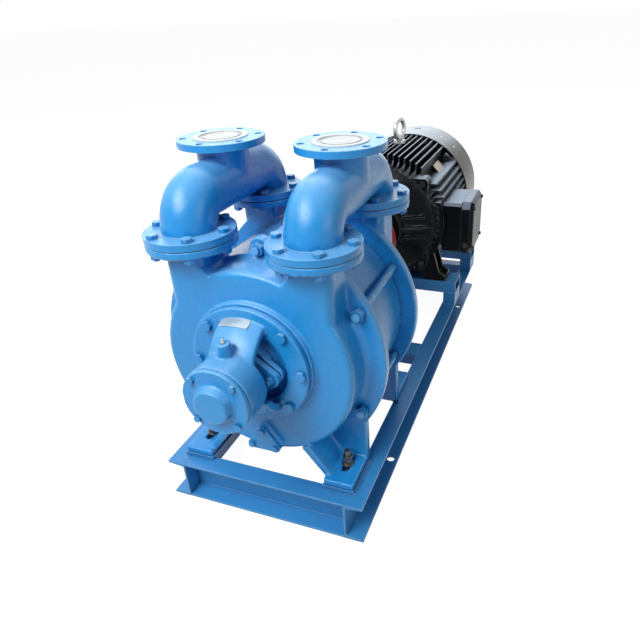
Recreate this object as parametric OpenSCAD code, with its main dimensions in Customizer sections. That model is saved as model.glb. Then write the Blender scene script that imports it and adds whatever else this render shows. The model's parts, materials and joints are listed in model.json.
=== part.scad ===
// Liquid ring vacuum pump with its motor on a channel-steel base.
// Millimetres, +Z up, +Y from the free end of the pump to the motor.
// The origin is on the floor, at the centre of the four anchor holes.

/* [Base] */
// Width over the flanges of the side rails
base_w = 580; // [540:1:640]
// Length of the side rails
base_l = 1574; // [1560:1:1800]
// Height of the rail channel
rail_h = 120; // [100:1:160]
// Flange width of the rail channel
rail_b = 53; // [45:1:60]
// Web thickness of the rail channel
rail_web = 5.5; // [4:0.5:9]
// Mean flange thickness of the rail channel
rail_flange = 9; // [7:0.5:12]
// Distance between the anchor holes along the base
anchor_pitch = 1019; // [900:1:1100]
// Distance from the front end of the rails to the first anchor hole
anchor_front = 310; // [280:1:340]
// Distance from the flange tip to the line of anchor holes
anchor_edge = 22.5; // [18:0.5:28]
// Diameter of an anchor hole
anchor_d = 24; // [18:1:28]
// Distance from the front end to the middle cross rail
middle_rail_y = 719; // [700:1:760]
// Width of the middle cross rail, laid web up
middle_rail_w = 80; // [65:1:100]
// Depth of the middle cross rail
middle_rail_b = 43; // [36:1:60]
// Width of a motor bridge, a channel laid web up
bridge_w = 100; // [90:1:120]
// Depth of a motor bridge
bridge_b = 48; // [40:1:60]
// Thickness of the web of a bridge
bridge_web = 5.3; // [4:0.1:8]
// Mean flange thickness of a bridge
bridge_flange = 8.5; // [6:0.5:10]
// Thickness of a foot pad
pad_t = 10; // [6:1:16]
// Width of a foot pad
pad_w = 87; // [80:1:100]
// Length of a foot pad
pad_l = 133; // [125:1:150]

/* [Pump body] */
// Height of the shaft above the floor
shaft_z = 469.5; // [455:0.5:500]
// Distance from the front end of the rails to the middle of the pump
pump_mid = 307; // [295:1:330]
// Distance of the casing axis below the shaft axis
eccentric = 22; // [15:1:24]
// Outer radius of the middle casing
casing_r = 266; // [260:1:270]
// Wall of the middle casing
casing_wall = 16; // [10:1:18]
// Half of the length between the two cover rings
ring_in = 125; // [110:1:135]
// Thickness of the ring flange of a cover
ring_t = 27; // [20:1:32]
// Radius of the ring flange of a cover
ring_r = 311; // [304:1:318]
// Radius of the drum of a cover
drum_r = 257; // [250:1:262]
// Depth of the drum in front of the ring
drum_l = 87; // [80:1:100]
// Radius on the front edge of the drum
drum_edge = 14; // [6:1:20]
// Radius of the cove between the drum and the ring
drum_cove = 18; // [8:1:24]
// Wall of a cover
cover_wall = 14; // [10:1:18]
// Thickness of a port plate
plate_t = 14; // [8:1:18]
// Radius of the circle of tie rods
tie_pcr = 284; // [280:1:288]
// Diameter of a tie rod
tie_d = 20; // [16:1:22]
// Number of tie rods
tie_n = 6; // [6:6:6]

/* [Pump feet] */
// Distance from the middle to the line of foot bolts
foot_x = 210; // [200:1:220]
// Distance from the pump middle plane to a foot bolt
foot_bolt_s = 189; // [180:1:200]
// Width of a foot plate
foot_w = 82; // [70:1:86]
// Length of a foot plate
foot_l = 128; // [115:1:132]
// Thickness of a foot plate
foot_t = 18; // [12:1:24]
// Thickness of the leaning wall of a foot
foot_wall = 14; // [8:1:18]
// Width of the slot in a foot
slot_w = 20; // [18:1:24]
// Length of the slot in a foot
slot_l = 64; // [40:1:70]
// Diameter of a foot bolt
foot_bolt_d = 16; // [12:1:17]

/* [Ports] */
// Distance from the middle to a port column
port_x = 161; // [155:1:170]
// Distance from the pump middle plane to a port column
port_s = 185; // [180:1:186]
// Height of the column flange above the shaft, at its joint face
port_up = 289.5; // [280:0.5:300]
// Outer radius of a pipe flange
flange_r = 110; // [106:1:114]
// Thickness of a pipe flange
flange_t = 18; // [14:1:22]
// Radius of the flange bolt circle
flange_pcr = 93; // [91:1:96]
// Number of bolts in a pipe flange
flange_n = 6; // [4:1:8]
// Diameter of a flange bolt
flange_bolt_d = 16; // [12:1:18]
// Bore radius of a port column
column_bore = 45; // [38:1:47]
// Thickness of a gasket
gasket_t = 2; // [1:0.5:4]
// Outer radius of the manifold pipe
pipe_r = 66.5; // [62:0.5:66.5]
// Wall of the manifold pipe
pipe_wall = 6.5; // [4:0.5:9]
// Bend radius of the manifold elbows
bend_r = 67; // [67:1:76]
// Height of the top flange above the column flange
stack_h = 196.5; // [185:0.5:210]
// Thickness of the rim of a port plug
plug_t = 2.5; // [2:0.5:4]
// Outer radius of the rim of a port plug
plug_r = 69; // [66:1:74]
// Depth of a port plug in its bore
plug_depth = 14; // [8:1:20]

/* [Bearing ends] */
// Radius of the boss behind a bracket
boss_r = 162; // [158:1:166]
// Thickness of that boss
boss_t = 13; // [8:1:18]
// Radius of the bracket flange
bracket_r = 157; // [152:1:160]
// Thickness of the bracket flange
bracket_t = 17; // [12:1:22]
// Radius of the circle of bracket bolts
bracket_pcr = 140; // [138:1:142]
// Diameter of a bracket bolt
bracket_bolt_d = 16; // [12:1:17]
// Distance from the bracket flange to the bearing housing
bracket_gap = 66; // [62:1:80]
// Width of the arch over the gland
arch_w = 116; // [100:1:124]
// Wall of the arch
arch_wall = 14; // [9:1:18]
// Length of the bearing housing
housing_l = 73; // [70:1:85]
// Radius of the bearing housing
housing_r = 85; // [82:1:88]
// Bore radius of a pump bearing
bearing_in = 30; // [29:0.5:31]
// Outer radius of a pump bearing
bearing_out = 65; // [62:0.5:67]
// Width of a pump bearing
bearing_w = 31; // [26:1:35]
// Thickness of a bearing cap
cap_t = 12.5; // [9:0.5:16]
// Radius of the circle of cap bolts
cap_pcr = 74; // [73:0.5:75]
// Diameter of a cap bolt
cap_bolt_d = 10; // [8:1:12]
// Length of the nose of a bearing cap
nose_l = 21; // [18:1:30]
// Radius of the nose at its front
nose_r = 41.5; // [40:0.5:44]

/* [Gland and rotor] */
// Radius of the shaft sleeves
sleeve_r = 42; // [40:0.5:43]
// Radius of the packing space
packing_r = 56; // [54:0.5:58]
// Number of packing rings
packing_n = 5; // [3:1:5]
// Width of one packing ring
packing_w = 12; // [10:0.5:12]
// Distance of a gland stud from the shaft
gland_stud_x = 78; // [76:1:80]
// Diameter of a gland stud
gland_stud_d = 12; // [10:1:14]
// Thickness of the gland flange
gland_t = 15; // [10:1:16]
// Travel of a gland follower along its studs
gland_travel = 8; // [4:1:9]
// Radius of the shaft under the sleeves
shaft_sleeve_r = 35; // [33:0.5:36]
// Radius of the shaft in the impeller
shaft_hub_r = 40; // [38:0.5:43]
// Radius of the shaft in the coupling
shaft_end_r = 28; // [25:0.5:29]
// Radius of the impeller hub
hub_r = 82; // [74:1:90]
// Number of impeller blades
blade_n = 18; // [12:1:20]
// Thickness of an impeller blade
blade_t = 8; // [5:0.5:10]
// Radius of the curve of a blade
blade_curve = 120; // [105:1:140]
// Gap between the impeller and the casing where it is nearest
tip_gap = 2; // [1:0.5:4]

/* [Coupling] */
// Radius of the coupling flanges
coupling_r = 109; // [105:1:114]
// Thickness of a coupling flange
coupling_t = 44; // [40:1:50]
// Radius of the coupling hubs
coupling_hub_r = 56; // [52:1:58]
// Length of the pump half
coupling_l = 110; // [100:1:120]
// Gap between the two halves
coupling_gap = 4; // [3:0.5:6]
// Radius of the circle of pins
pin_pcr = 83; // [80:1:86]
// Number of pins
pin_n = 6; // [4:1:8]
// Diameter of a pin
pin_d = 20; // [16:1:22]
// Outer radius of a rubber bush
bush_r = 19; // [16:0.5:21]

/* [Motor] */
// Shaft height of the motor
motor_h = 250; // [245:1:265]
// Distance between the foot holes across the motor
motor_a = 406; // [400:1:420]
// Distance between the foot holes along the motor
motor_b = 349; // [330:1:360]
// Distance from the shaft shoulder to the first foot holes
motor_c = 168; // [160:1:180]
// Length of the shaft end
motor_e = 140; // [130:1:150]
// Radius of the shaft end
motor_shaft_r = 32.5; // [30:0.5:34]
// Distance from the shaft shoulder to the frame
shield_l = 100; // [95:1:110]
// Length of the frame past its rear feet
frame_past_feet = 21; // [10:1:40]
// Radius of the frame without its fins
frame_r = 208; // [204:1:214]
// Wall of the frame
frame_wall = 20; // [16:1:24]
// Height of the fins
fin_h = 44; // [40:1:48]
// Thickness of a fin
fin_t = 5; // [4:0.5:7]
// Pitch of the upright fins
fin_pitch = 22; // [20:0.5:24]
// Pitch of the level fins
side_fin_pitch = 24.5; // [22:0.5:27]
// Length of the fan cowl
cowl_l = 225; // [215:1:240]
// Wall of the fan cowl
cowl_wall = 3; // [2:0.5:4]
// Length of a motor foot
motor_foot_l = 84; // [74:1:92]
// Diameter of a motor foot bolt
motor_bolt_d = 20; // [16:1:22]
// Height of the terminal box
box_h = 200; // [170:1:215]
// Length of the terminal box
box_l = 206; // [180:1:220]
// Distance from the shaft to the outer face of the lid
box_reach = 345; // [335:1:360]
// Depth of the terminal box lid
lid_t = 46; // [36:1:54]
// Distance from the shaft shoulder to the lifting eye
eye_s = 322; // [310:1:330]
// Radius of the ring of the lifting eye, at its middle line
eye_r = 36; // [30:1:42]
// Turn of the lifting eye
eye_turn = 12; // [0:1:90]

/* [Hidden] */
$fn = 72;
cut = 1;
// Radial play of a pressed or ground seat
seat = 0.02;
// Radial play of a thread
thread = 0.1;
// Radial play of a bolt in its hole
play = 1;
// Running gap beside the impeller
side_gap = 0.4;
// Gap between moving faces
clear = 0.3;

front_y = -anchor_front - anchor_pitch / 2;
rail_x = base_w / 2 - rail_b;
pump_y = front_y + pump_mid;
ring_face = ring_in + ring_t;
disc_face = ring_face + drum_l;
boss_face = disc_face + boss_t;
bracket_face = boss_face + bracket_t;
housing_face = bracket_face + bracket_gap;
cap_face = housing_face + housing_l;
nose_face = cap_face + cap_t;
nose_end = nose_face + nose_l;
plate_in = ring_in - plate_t;
casing_bore = casing_r - casing_wall;
foot_top = rail_h + pad_t + foot_t - shaft_z;
foot_low = rail_h + pad_t - shaft_z;
neck_r = disc_face - port_s;
stub_out = pipe_r - 1;
// Straight length of pipe above the lower flange
pipe_neck = 3;
column_top = port_up - flange_t;
// Radius on the corners of a column
column_edge = 24;
flare_x = port_x - 69;
flare_up = 211;
cavity_r = drum_r - cover_wall;
hub_wall_r = 78;
bracket_hole_r = 102;
throat_r = sleeve_r + play;
stuffing_s = disc_face - 38;
stuffing_face = bracket_face + 15;
stuffing_r = 70;
gland_seat = stuffing_s + packing_n * packing_w + clear;
gland_face = stuffing_face + 6;
stud_end = gland_face + gland_t + 10 + gland_travel + 2;
blade_r = casing_bore - eccentric - tip_gap;
impeller_half = plate_in - side_gap;
cavity_face = disc_face - cover_wall;
bearing_s = cap_face - 5 - bearing_w;
housing_bore = bearing_out + seat;
arch_r = bracket_pcr - 6;
// Ball that the arch follows from the bracket flange to the bearing housing
dome_end = housing_face + 5;
dome_s = (pow(dome_end, 2) - pow(bracket_face, 2) + pow(housing_r, 2) - pow(arch_r, 2))
    / (2 * (dome_end - bracket_face));
dome_r = norm([arch_r, bracket_face - dome_s]);
lower_shell_w = 156;
lower_shell_up = -50;
nose_root = nose_r + 8;
grease_s = housing_face + 18;
grease_top = housing_r + 33;
grease_r = 17;
grease_hole_r = 4;
drain_up = -eccentric - drum_r + 32;
drain_pad = 8;
drain_t = 10;
drain_corner_r = 13;
drain_corners = [[0, 34], [-34, -14], [34, -14]];
drain_bolt_d = 10;
pump_half_s = nose_end + 6;
joint_s = pump_half_s + coupling_l;
motor_y = pump_y + joint_s + coupling_gap + motor_e;
bridge_top = shaft_z - motor_h;
bush_l = coupling_t - 2;
frame_end = motor_c + motor_b + motor_foot_l / 2 + frame_past_feet;
frame_l = frame_end - shield_l;
frame_bore = frame_r - frame_wall;
fin_r = frame_r + fin_h;
motor_bearing_in = 35;
motor_bearing_out = 75;
motor_bearing_w = 35;
motor_bearing_s = 20;
rear_shield_l = 62;
bearing_shoulder = 16;
rear_bearing_s = frame_end + rear_shield_l - motor_bearing_w - bearing_shoulder;
core_front = 90;
core_rear = 120;
core_s = shield_l + core_front;
core_l = frame_l - core_front - core_rear;
winding_l = 55;
air_gap = 1.2;
rotor_r = frame_bore - 48;
rotor_bore = 40;
lug_r = frame_r + 16;
lug_bolt_d = 14;
// Half the width of the square that the corner lugs stand out of the frame to
lug_half = frame_r - 30;
lug_l = 40;
shield_wall = 12;
shield_rim = 18;
shield_rib_pitch = 40;
shield_rib_t = 8;
motor_foot_t = 20;
motor_foot_wall = 13;
cowl_r = fin_r + cowl_wall + 1;
// Top of the cut in the cowl for the rear feet
cowl_cut_up = -110;
// Depth of the fins under the motor, short of the feet
fin_low = motor_h - 25;
fan_s = frame_end + rear_shield_l + 8;
fan_r = frame_bore - 12;
fan_hub_r = 52;
fan_bore = 30;
fan_l = 40;
fan_disc_t = 6;
fan_room = 18;
cowl_s = fan_s + fan_l + fan_room - cowl_l;
box_s = shield_l + 32;
box_up = -24;
box_in = frame_r + 20;
box_wall = 10;
// Cast saddle under the terminal box
saddle_r = fin_r - 14;
saddle_lip = 7;
box_corner = 12;
lid_corner = 26;
lid_bevel = 14;
lid_wall = 15;
lid_in = box_reach - lid_t;
lid_lip = 6;
eye_seat = fin_r + 1;
eye_bar = 9.5;
eye_shank = 12;
eye_collar = 12;
key_w = 16;
key_h = 10;
motor_key_w = 18;
key_sink = 5;

FASTENER = [[8, 13, 5.5], [10, 16, 7], [12, 18, 8], [14, 21, 9], [16, 24, 10], [20, 30, 13]];
function flats(d) = lookup(d, [for (f = FASTENER) [f[0], f[1]]]);
function head_h(d) = lookup(d, [for (f = FASTENER) [f[0], f[2]]]);
function nut_h(d) = d * 0.8;

// Frames: x to the right, y up, z outwards along the shaft
module front_end() {
    translate([0, pump_y, shaft_z]) rotate([90, 0, 0]) children();
}

module rear_end() {
    translate([0, pump_y, shaft_z]) mirror([0, 1, 0]) rotate([90, 0, 0]) children();
}

module both_ends() {
    front_end() children();
    rear_end() children();
}

module motor_place() {
    translate([0, motor_y, shaft_z]) mirror([0, 1, 0]) rotate([90, 0, 0]) children();
}

module both_sides() {
    children();
    mirror([1, 0, 0]) children();
}

module around(n, r, turn = 0) {
    for (i = [0 : n - 1])
        rotate(turn + 360 / n * i) translate([r, 0, 0]) children();
}

module slab(s0, s1) {
    translate([0, 0, s0]) linear_extrude(s1 - s0) children();
}

module tube(r_out, r_in, s0, s1) {
    slab(s0, s1) difference() {
        circle(r_out);
        circle(r_in);
    }
}

module rod(r, s0, s1) {
    translate([0, 0, s0]) cylinder(r = r, h = s1 - s0);
}

module hex_bolt(d, reach) {
    rod(flats(d) / sqrt(3), 0, head_h(d), $fn = 6);
    rod(d / 2, -reach, cut);
}

module hex_nut(d) {
    difference() {
        cylinder(r = flats(d) / sqrt(3), h = nut_h(d), $fn = 6);
        rod(d / 2 + thread, -cut, nut_h(d) + cut);
    }
}

// Two-bolt oval: round middle and ends, joined by straight sides just inside the tangents
module oval(r_mid, r_end, reach) {
    a = acos((r_mid - r_end) / reach);
    shy = 0.05;
    top = [[-reach, 0, r_end, 180 - a], [0, 0, r_mid, 180 - a], [0, 0, r_mid, a], [reach, 0, r_end, a]];
    circle(r_mid);
    for (side = [-1, 1]) translate([side * reach, 0]) circle(r_end);
    for (side = [0, 1]) mirror([0, side])
        polygon(concat([[reach, 0], [-reach, 0]],
            [for (t = top) [t[0], 0] + (t[2] - shy) * [cos(t[3]), sin(t[3])]]));
}

// Rolled channel: back of the web on the y axis, flanges towards +x, inner faces sloped
module channel(h, b, web, flange) {
    slope = 0.1 * (b - web) / 2;
    polygon([[0, 0], [b, 0], [b, flange - slope], [web, flange + slope],
        [web, h - flange - slope], [b, h - flange + slope], [b, h], [0, h]]);
}

// Channel laid web up, its top face at y = 0
module laid_channel(w, b, web, flange) {
    translate([-w / 2, 0]) rotate(-90) channel(w, b, web, flange);
}

module across(x0, x1) {
    translate([x0, 0, 0]) rotate([90, 0, 90]) linear_extrude(x1 - x0) children();
}

// Base
module side_rail() {
    difference() {
        translate([rail_x, front_y + base_l, 0]) rotate([90, 0, 0])
            linear_extrude(base_l) channel(rail_h, rail_b, rail_web, rail_flange);
        for (side = [-1, 1])
            translate([base_w / 2 - anchor_edge, side * anchor_pitch / 2, 0])
                rod(anchor_d / 2, -cut, rail_h / 2);
    }
}

module side_rail_right() {
    color("royalblue") side_rail();
}

module side_rail_left() {
    color("royalblue") mirror([1, 0, 0]) side_rail();
}

module cross_rail() {
    across(-rail_x, rail_x) translate([rail_b, 0]) mirror([1, 0])
        channel(rail_h, rail_b, rail_web, rail_flange);
}

module front_cross_rail() {
    color("royalblue") translate([0, front_y, 0]) cross_rail();
}

module rear_cross_rail() {
    color("royalblue") translate([0, front_y + base_l, 0]) mirror([0, 1, 0]) cross_rail();
}

module middle_cross_rail() {
    color("royalblue") translate([0, front_y + middle_rail_y + middle_rail_w / 2, rail_h])
        across(-rail_x, rail_x) laid_channel(middle_rail_w, middle_rail_b, rail_web, rail_flange);
}

module foot_pads() {
    color("royalblue") both_ends() both_sides()
        translate([foot_x, foot_low - pad_t, foot_bolt_s + 12]) rotate([-90, 0, 0]) difference() {
            translate([-pad_w / 2, -pad_l / 2, 0]) cube([pad_w, pad_l, pad_t]);
            translate([0, 12, 0]) rod(foot_bolt_d / 2 + play, -cut, pad_t + cut);
        }
}

module at_bridges() {
    for (s = [motor_c, motor_c + motor_b]) translate([0, motor_y + s, 0]) children();
}

module motor_bridges() {
    color("royalblue") at_bridges() difference() {
        translate([0, 0, bridge_top]) across(-base_w / 2, base_w / 2)
            laid_channel(bridge_w, bridge_b, bridge_web, bridge_flange);
        both_sides() translate([motor_a / 2, 0, bridge_top])
            rod(motor_bolt_d / 2 + play, -bridge_b, cut);
    }
}

module bridge_posts() {
    color("royalblue") at_bridges() both_sides() slab(rail_h, bridge_top - bridge_b)
        translate([base_w / 2, -bridge_w / 2]) mirror([1, 0])
            channel(bridge_w, bridge_b, bridge_web, bridge_flange);
}

// Pump covers
module on_casing_axis() {
    translate([0, -eccentric]) children();
}

module cover_profile() {
    translate([0, ring_in]) square([ring_r, ring_t]);
    translate([0, ring_in]) square([drum_r, disc_face - ring_in - drum_edge]);
    translate([0, ring_in]) square([drum_r - drum_edge, disc_face - ring_in]);
    translate([drum_r - drum_edge, disc_face - drum_edge]) circle(drum_edge);
    translate([drum_r, ring_face]) difference() {
        square(drum_cove);
        translate([drum_cove, drum_cove]) circle(drum_cove);
    }
}

// Ring and drum, with the ring cut away between the port columns
module cover_drum() {
    difference() {
        on_casing_axis() rotate_extrude() cover_profile();
        slab(ring_in - cut, ring_face + drum_cove + cut) difference() {
            translate([-(port_x - neck_r), 0]) square([2 * (port_x - neck_r), ring_r]);
            on_casing_axis() circle(casing_r + 2);
        }
    }
}

module column_section() {
    inner = neck_r - column_edge;
    square(2 * [inner, neck_r], center = true);
    square(2 * [neck_r, inner], center = true);
    for (sx = [-1, 1], sy = [-1, 1]) translate([sx * inner, sy * inner]) circle(column_edge);
}

// Port column: square neck with a flat front, inner flare down to the drum
module port_column() {
    translate([port_x, 0, port_s]) rotate([-90, 0, 0]) {
        linear_extrude(column_top + cut) column_section();
        translate([0, 0, column_top]) cylinder(r = flange_r, h = flange_t);
    }
    slab(ring_in, disc_face) polygon([[port_x, flare_up + 45], [port_x - neck_r / 2, flare_up + 45],
        [flare_x, flare_up], [flare_x, 0], [port_x, 0]]);
}

module tie_lug() {
    on_casing_axis() {
        translate([0, tie_pcr]) rod(tie_d + 6, ring_in, ring_face);
        slab(ring_in, ring_face) translate([-tie_d, drum_r - cut]) square([2 * tie_d, tie_pcr - drum_r]);
    }
}

// Foot: plate on the pad, back wall up to the ring, wall leaning in to the drum
module foot_outline() {
    x0 = foot_x - foot_w / 2;
    x1 = foot_x + foot_w / 2;
    top = -eccentric - tie_pcr / 2;
    polygon([[x0, foot_low], [x1, foot_low], [x1, top], [x0 - 40, top], [x0 - 60, foot_top + 82], [x0, foot_top]]);
}

module foot() {
    x0 = foot_x - foot_w / 2;
    foot_end = ring_in + foot_l + 12;
    slab(ring_in, ring_face) foot_outline();
    translate([x0, foot_low, ring_in]) cube([foot_w, foot_t, foot_end - ring_in]);
    slab(ring_in, disc_face + 8) polygon([[x0, foot_low + foot_t / 2], [x0 + foot_wall, foot_low + foot_t / 2],
        [x0 + foot_wall, foot_top], [x0 - 60 + foot_wall, foot_top + 88], [x0 - 74, foot_top + 88]]);
}

module foot_slot() {
    translate([foot_x, foot_low, foot_bolt_s]) rotate([-90, 0, 0]) slab(-cut, foot_t + cut) {
        square([slot_w, slot_l - slot_w], center = true);
        for (side = [-1, 1]) translate([0, side * (slot_l - slot_w) / 2]) circle(d = slot_w);
    }
}

module drain_shape() {
    hull() for (c = drain_corners) translate(c) circle(drain_corner_r, $fn = 32);
}

// Chambers behind the face wall, split by an upright wall into suction and discharge
module cover_cavity() {
    difference() {
        on_casing_axis() rod(cavity_r, ring_in - cut, cavity_face);
        rod(hub_wall_r, ring_in - 2 * cut, disc_face);
        slab(ring_in - 2 * cut, disc_face) square([cover_wall, 4 * cavity_r], center = true);
    }
}

module cover() {
    difference() {
        union() {
            cover_drum();
            tie_lug();
            both_sides() port_column();
            both_sides() difference() {
                foot();
                on_casing_axis() rod(drum_r - cover_wall / 2, 0, disc_face + boss_t);
            }
            rod(boss_r, disc_face - cut, boss_face);
            rod(stuffing_r, disc_face - cut, stuffing_face);
            slab(stuffing_face - gland_t, stuffing_face) oval(stuffing_r - 4, gland_stud_d + 8, gland_stud_x);
            translate([0, drain_up]) slab(disc_face - drum_edge, disc_face + drain_pad) drain_shape();
        }
        cover_cavity();
        rod(throat_r, ring_in - cut, stuffing_face);
        rod(packing_r, stuffing_s, stuffing_face + cut);
        both_sides() translate([port_x, 0, port_s]) rotate([-90, 0, 0]) {
            rod(column_bore, neck_r, port_up + cut);
            translate([0, 0, column_top]) around(flange_n, flange_pcr)
                rod(flange_bolt_d / 2 + play, -cut, flange_t + cut);
        }
        on_casing_axis() around(tie_n, tie_pcr, 90) {
            rod(tie_d / 2 + play, ring_in - cut, ring_face + cut);
            rod(flats(tie_d) / sqrt(3) + play, ring_face, ring_face + drum_cove + cut);
        }
        both_sides() foot_slot();
        bracket_bolt_places() rod(bracket_bolt_d / 2 + thread, cavity_face + 3, boss_face + cut);
        both_sides() translate([gland_stud_x, 0])
            rod(gland_stud_d / 2 + thread, stuffing_face - gland_t, stuffing_face + cut);
        drain_bolt_places() rod(drain_bolt_d / 2 + thread, cavity_face + 4, disc_face + drain_pad + cut);
    }
}

module front_cover() {
    color("dodgerblue") front_end() cover();
}

module rear_cover() {
    color("dodgerblue") rear_end() cover();
}

module casing() {
    color("dodgerblue") front_end() on_casing_axis() tube(casing_r, casing_bore, -plate_in, plate_in);
}

// Port plate: wide suction window on the left, narrow discharge window on the right
module window(r0, r1, from, to) {
    difference() {
        intersection() {
            circle(r1);
            polygon([[0, 0], for (i = [0 : 4]) let (a = from + (to - from) * i / 4) 2 * r1 * [cos(a), sin(a)]]);
        }
        circle(r0);
    }
}

module port_plate() {
    slab(plate_in, ring_in) difference() {
        on_casing_axis() circle(casing_r);
        circle(sleeve_r + play);
        window(hub_r + 8, blade_r - 60, 118, 205);
        window(hub_r + 8, blade_r - 85, -8, 46);
    }
}

module front_port_plate() {
    color("dodgerblue") front_end() port_plate();
}

module rear_port_plate() {
    color("dodgerblue") rear_end() port_plate();
}

module tie_rods() {
    color("steelblue") front_end() on_casing_axis() around(tie_n, tie_pcr, 90)
        rod(tie_d / 2, -ring_face - nut_h(tie_d) - 8, ring_face + nut_h(tie_d) + 8);
}

module tie_rod_nuts() {
    color("steelblue") both_ends() on_casing_axis() around(tie_n, tie_pcr, 90)
        translate([0, 0, ring_face]) hex_nut(tie_d);
}

module bracket_bolt_places() {
    for (turn = [-45, 0, 45, 135, 180, 225]) rotate(turn) translate([bracket_pcr, 0, 0]) children();
}

module dome() {
    translate([0, 0, dome_s]) difference() {
        sphere(dome_r);
        sphere(dome_r - arch_wall);
    }
}

// Bracket: flange, arch above and shell below the gland, housing and grease boss
module bracket() {
    difference() {
        union() {
            tube(bracket_r, bracket_hole_r, boss_face, bracket_face);
            intersection() {
                dome();
                slab(boss_face + cut, housing_face + bearing_w) {
                    translate([-arch_w / 2, 0]) square([arch_w, bracket_r]);
                    translate([-lower_shell_w / 2, -bracket_r])
                        square([lower_shell_w, bracket_r + lower_shell_up]);
                }
            }
            rod(housing_r, housing_face, cap_face);
            translate([0, 0, grease_s]) rotate([-90, 0, 0]) rod(grease_r, bearing_out, grease_top);
        }
        rod(bracket_hole_r - 30, boss_face - cut, housing_face - cut);
        rod(bearing_out - 20, housing_face - 2 * cut, cap_face);
        rod(housing_bore, bearing_s, cap_face + cut);
        translate([0, 0, grease_s]) rotate([-90, 0, 0])
            rod(grease_hole_r + thread, bearing_out, grease_top + cut);
        bracket_bolt_places() rod(bracket_bolt_d / 2 + play, boss_face - cut, bracket_face + cut);
        around(4, cap_pcr, 45) rod(cap_bolt_d / 2 + thread, cap_face - 24, cap_face + cut);
    }
}

module front_bracket() {
    color("dodgerblue") front_end() bracket();
}

module rear_bracket() {
    color("dodgerblue") rear_end() bracket();
}

module bracket_bolts() {
    color("steelblue") both_ends() bracket_bolt_places()
        translate([0, 0, bracket_face]) hex_bolt(bracket_bolt_d, bracket_t + 20);
}

// Ball bearings
function ball_r(r_in, r_out) = 0.29 * (r_out - r_in);

module groove(r_in, r_out, w, s) {
    translate([0, 0, s + w / 2]) rotate_extrude()
        translate([(r_in + r_out) / 2, 0]) circle(ball_r(r_in, r_out) + 2 * seat);
}

module outer_race(r_in, r_out, w, s) {
    difference() {
        tube(r_out, (r_in + r_out) / 2 + ball_r(r_in, r_out) * 0.6, s, s + w);
        groove(r_in, r_out, w, s);
    }
}

module inner_race(r_in, r_out, w, s) {
    difference() {
        tube((r_in + r_out) / 2 - ball_r(r_in, r_out) * 0.6, r_in + seat, s, s + w);
        groove(r_in, r_out, w, s);
    }
}

module balls(r_in, r_out, w, s) {
    around(9, (r_in + r_out) / 2) translate([0, 0, s + w / 2]) sphere(ball_r(r_in, r_out));
}

module motor_bearings() {
    for (s = [motor_bearing_s, rear_bearing_s]) translate([0, 0, s]) children();
}

module bearing_outer_races() {
    color("gainsboro") {
        both_ends() outer_race(bearing_in, bearing_out, bearing_w, bearing_s);
        motor_place() motor_bearings() outer_race(motor_bearing_in, motor_bearing_out, motor_bearing_w, 0);
    }
}

module pump_inner_races() {
    color("gainsboro") both_ends() inner_race(bearing_in, bearing_out, bearing_w, bearing_s);
}

module motor_inner_races() {
    color("gainsboro") motor_place() motor_bearings()
        inner_race(motor_bearing_in, motor_bearing_out, motor_bearing_w, 0);
}

module bearing_balls() {
    color("white") {
        both_ends() balls(bearing_in, bearing_out, bearing_w, bearing_s);
        motor_place() motor_bearings() balls(motor_bearing_in, motor_bearing_out, motor_bearing_w, 0);
    }
}

// Bearing caps: spigot on the outer race, flange, tapered nose
module cap_profile(bore) {
    difference() {
        union() {
            translate([0, bearing_s + bearing_w])
                square([bearing_out - seat, cap_face - bearing_s - bearing_w + cut]);
            translate([0, cap_face]) square([housing_r - 1, cap_t]);
            polygon([[0, nose_face - cut], [nose_root, nose_face - cut], [nose_r, nose_end], [0, nose_end]]);
        }
        translate([0, bearing_s + bearing_w - cut]) square([nose_r - 6, nose_end - bearing_s - bearing_w - 5]);
        if (bore > 0) square([bore, nose_end + cut]);
    }
}

module bearing_cap(bore) {
    difference() {
        rotate_extrude() cap_profile(bore);
        around(4, cap_pcr, 45) rod(cap_bolt_d / 2 + play, cap_face - cut, nose_face + cut);
    }
}

module front_bearing_cap() {
    color("dodgerblue") front_end() bearing_cap(0);
}

module rear_bearing_cap() {
    color("dodgerblue") rear_end() bearing_cap(shaft_end_r + play);
}

// Bolts of the bearing caps and of the drain covers
module small_bolts() {
    color("steelblue") both_ends() {
        around(4, cap_pcr, 45) translate([0, 0, nose_face]) hex_bolt(cap_bolt_d, cap_t + 20);
        drain_bolt_places() translate([0, 0, disc_face + drain_pad + drain_t])
            hex_bolt(drain_bolt_d, drain_t + drain_pad + 8);
    }
}

// Gland
module packing_rings() {
    color("dimgray") both_ends() for (i = [0 : packing_n - 1]) translate([0, 0, stuffing_s + i * packing_w])
        tube(packing_r - thread, sleeve_r + thread, 0, packing_w - seat);
}

module gland_studs() {
    color("steelblue") both_ends() both_sides()
        translate([gland_stud_x, 0]) rod(gland_stud_d / 2, stuffing_face - gland_t, stud_end);
}

module gland() {
    difference() {
        union() {
            tube(packing_r - clear, throat_r, gland_seat, gland_face + cut);
            slab(gland_face, gland_face + gland_t) difference() {
                oval(stuffing_r - 6, gland_stud_d + 8, gland_stud_x);
                circle(throat_r);
            }
        }
        both_sides() translate([gland_stud_x, 0])
            rod(gland_stud_d / 2 + play, gland_face - cut, gland_face + gland_t + cut);
    }
}

module gland_nuts() {
    both_sides() translate([gland_stud_x, 0, gland_face + gland_t]) hex_nut(gland_stud_d);
}

module front_gland() {
    color("dodgerblue") front_end() gland();
}

module rear_gland() {
    color("dodgerblue") rear_end() gland();
}

module front_gland_nuts() {
    color("steelblue") front_end() gland_nuts();
}

module rear_gland_nuts() {
    color("steelblue") rear_end() gland_nuts();
}

module drain_bolt_places() {
    translate([0, drain_up]) for (c = drain_corners) translate(c) children();
}

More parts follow.
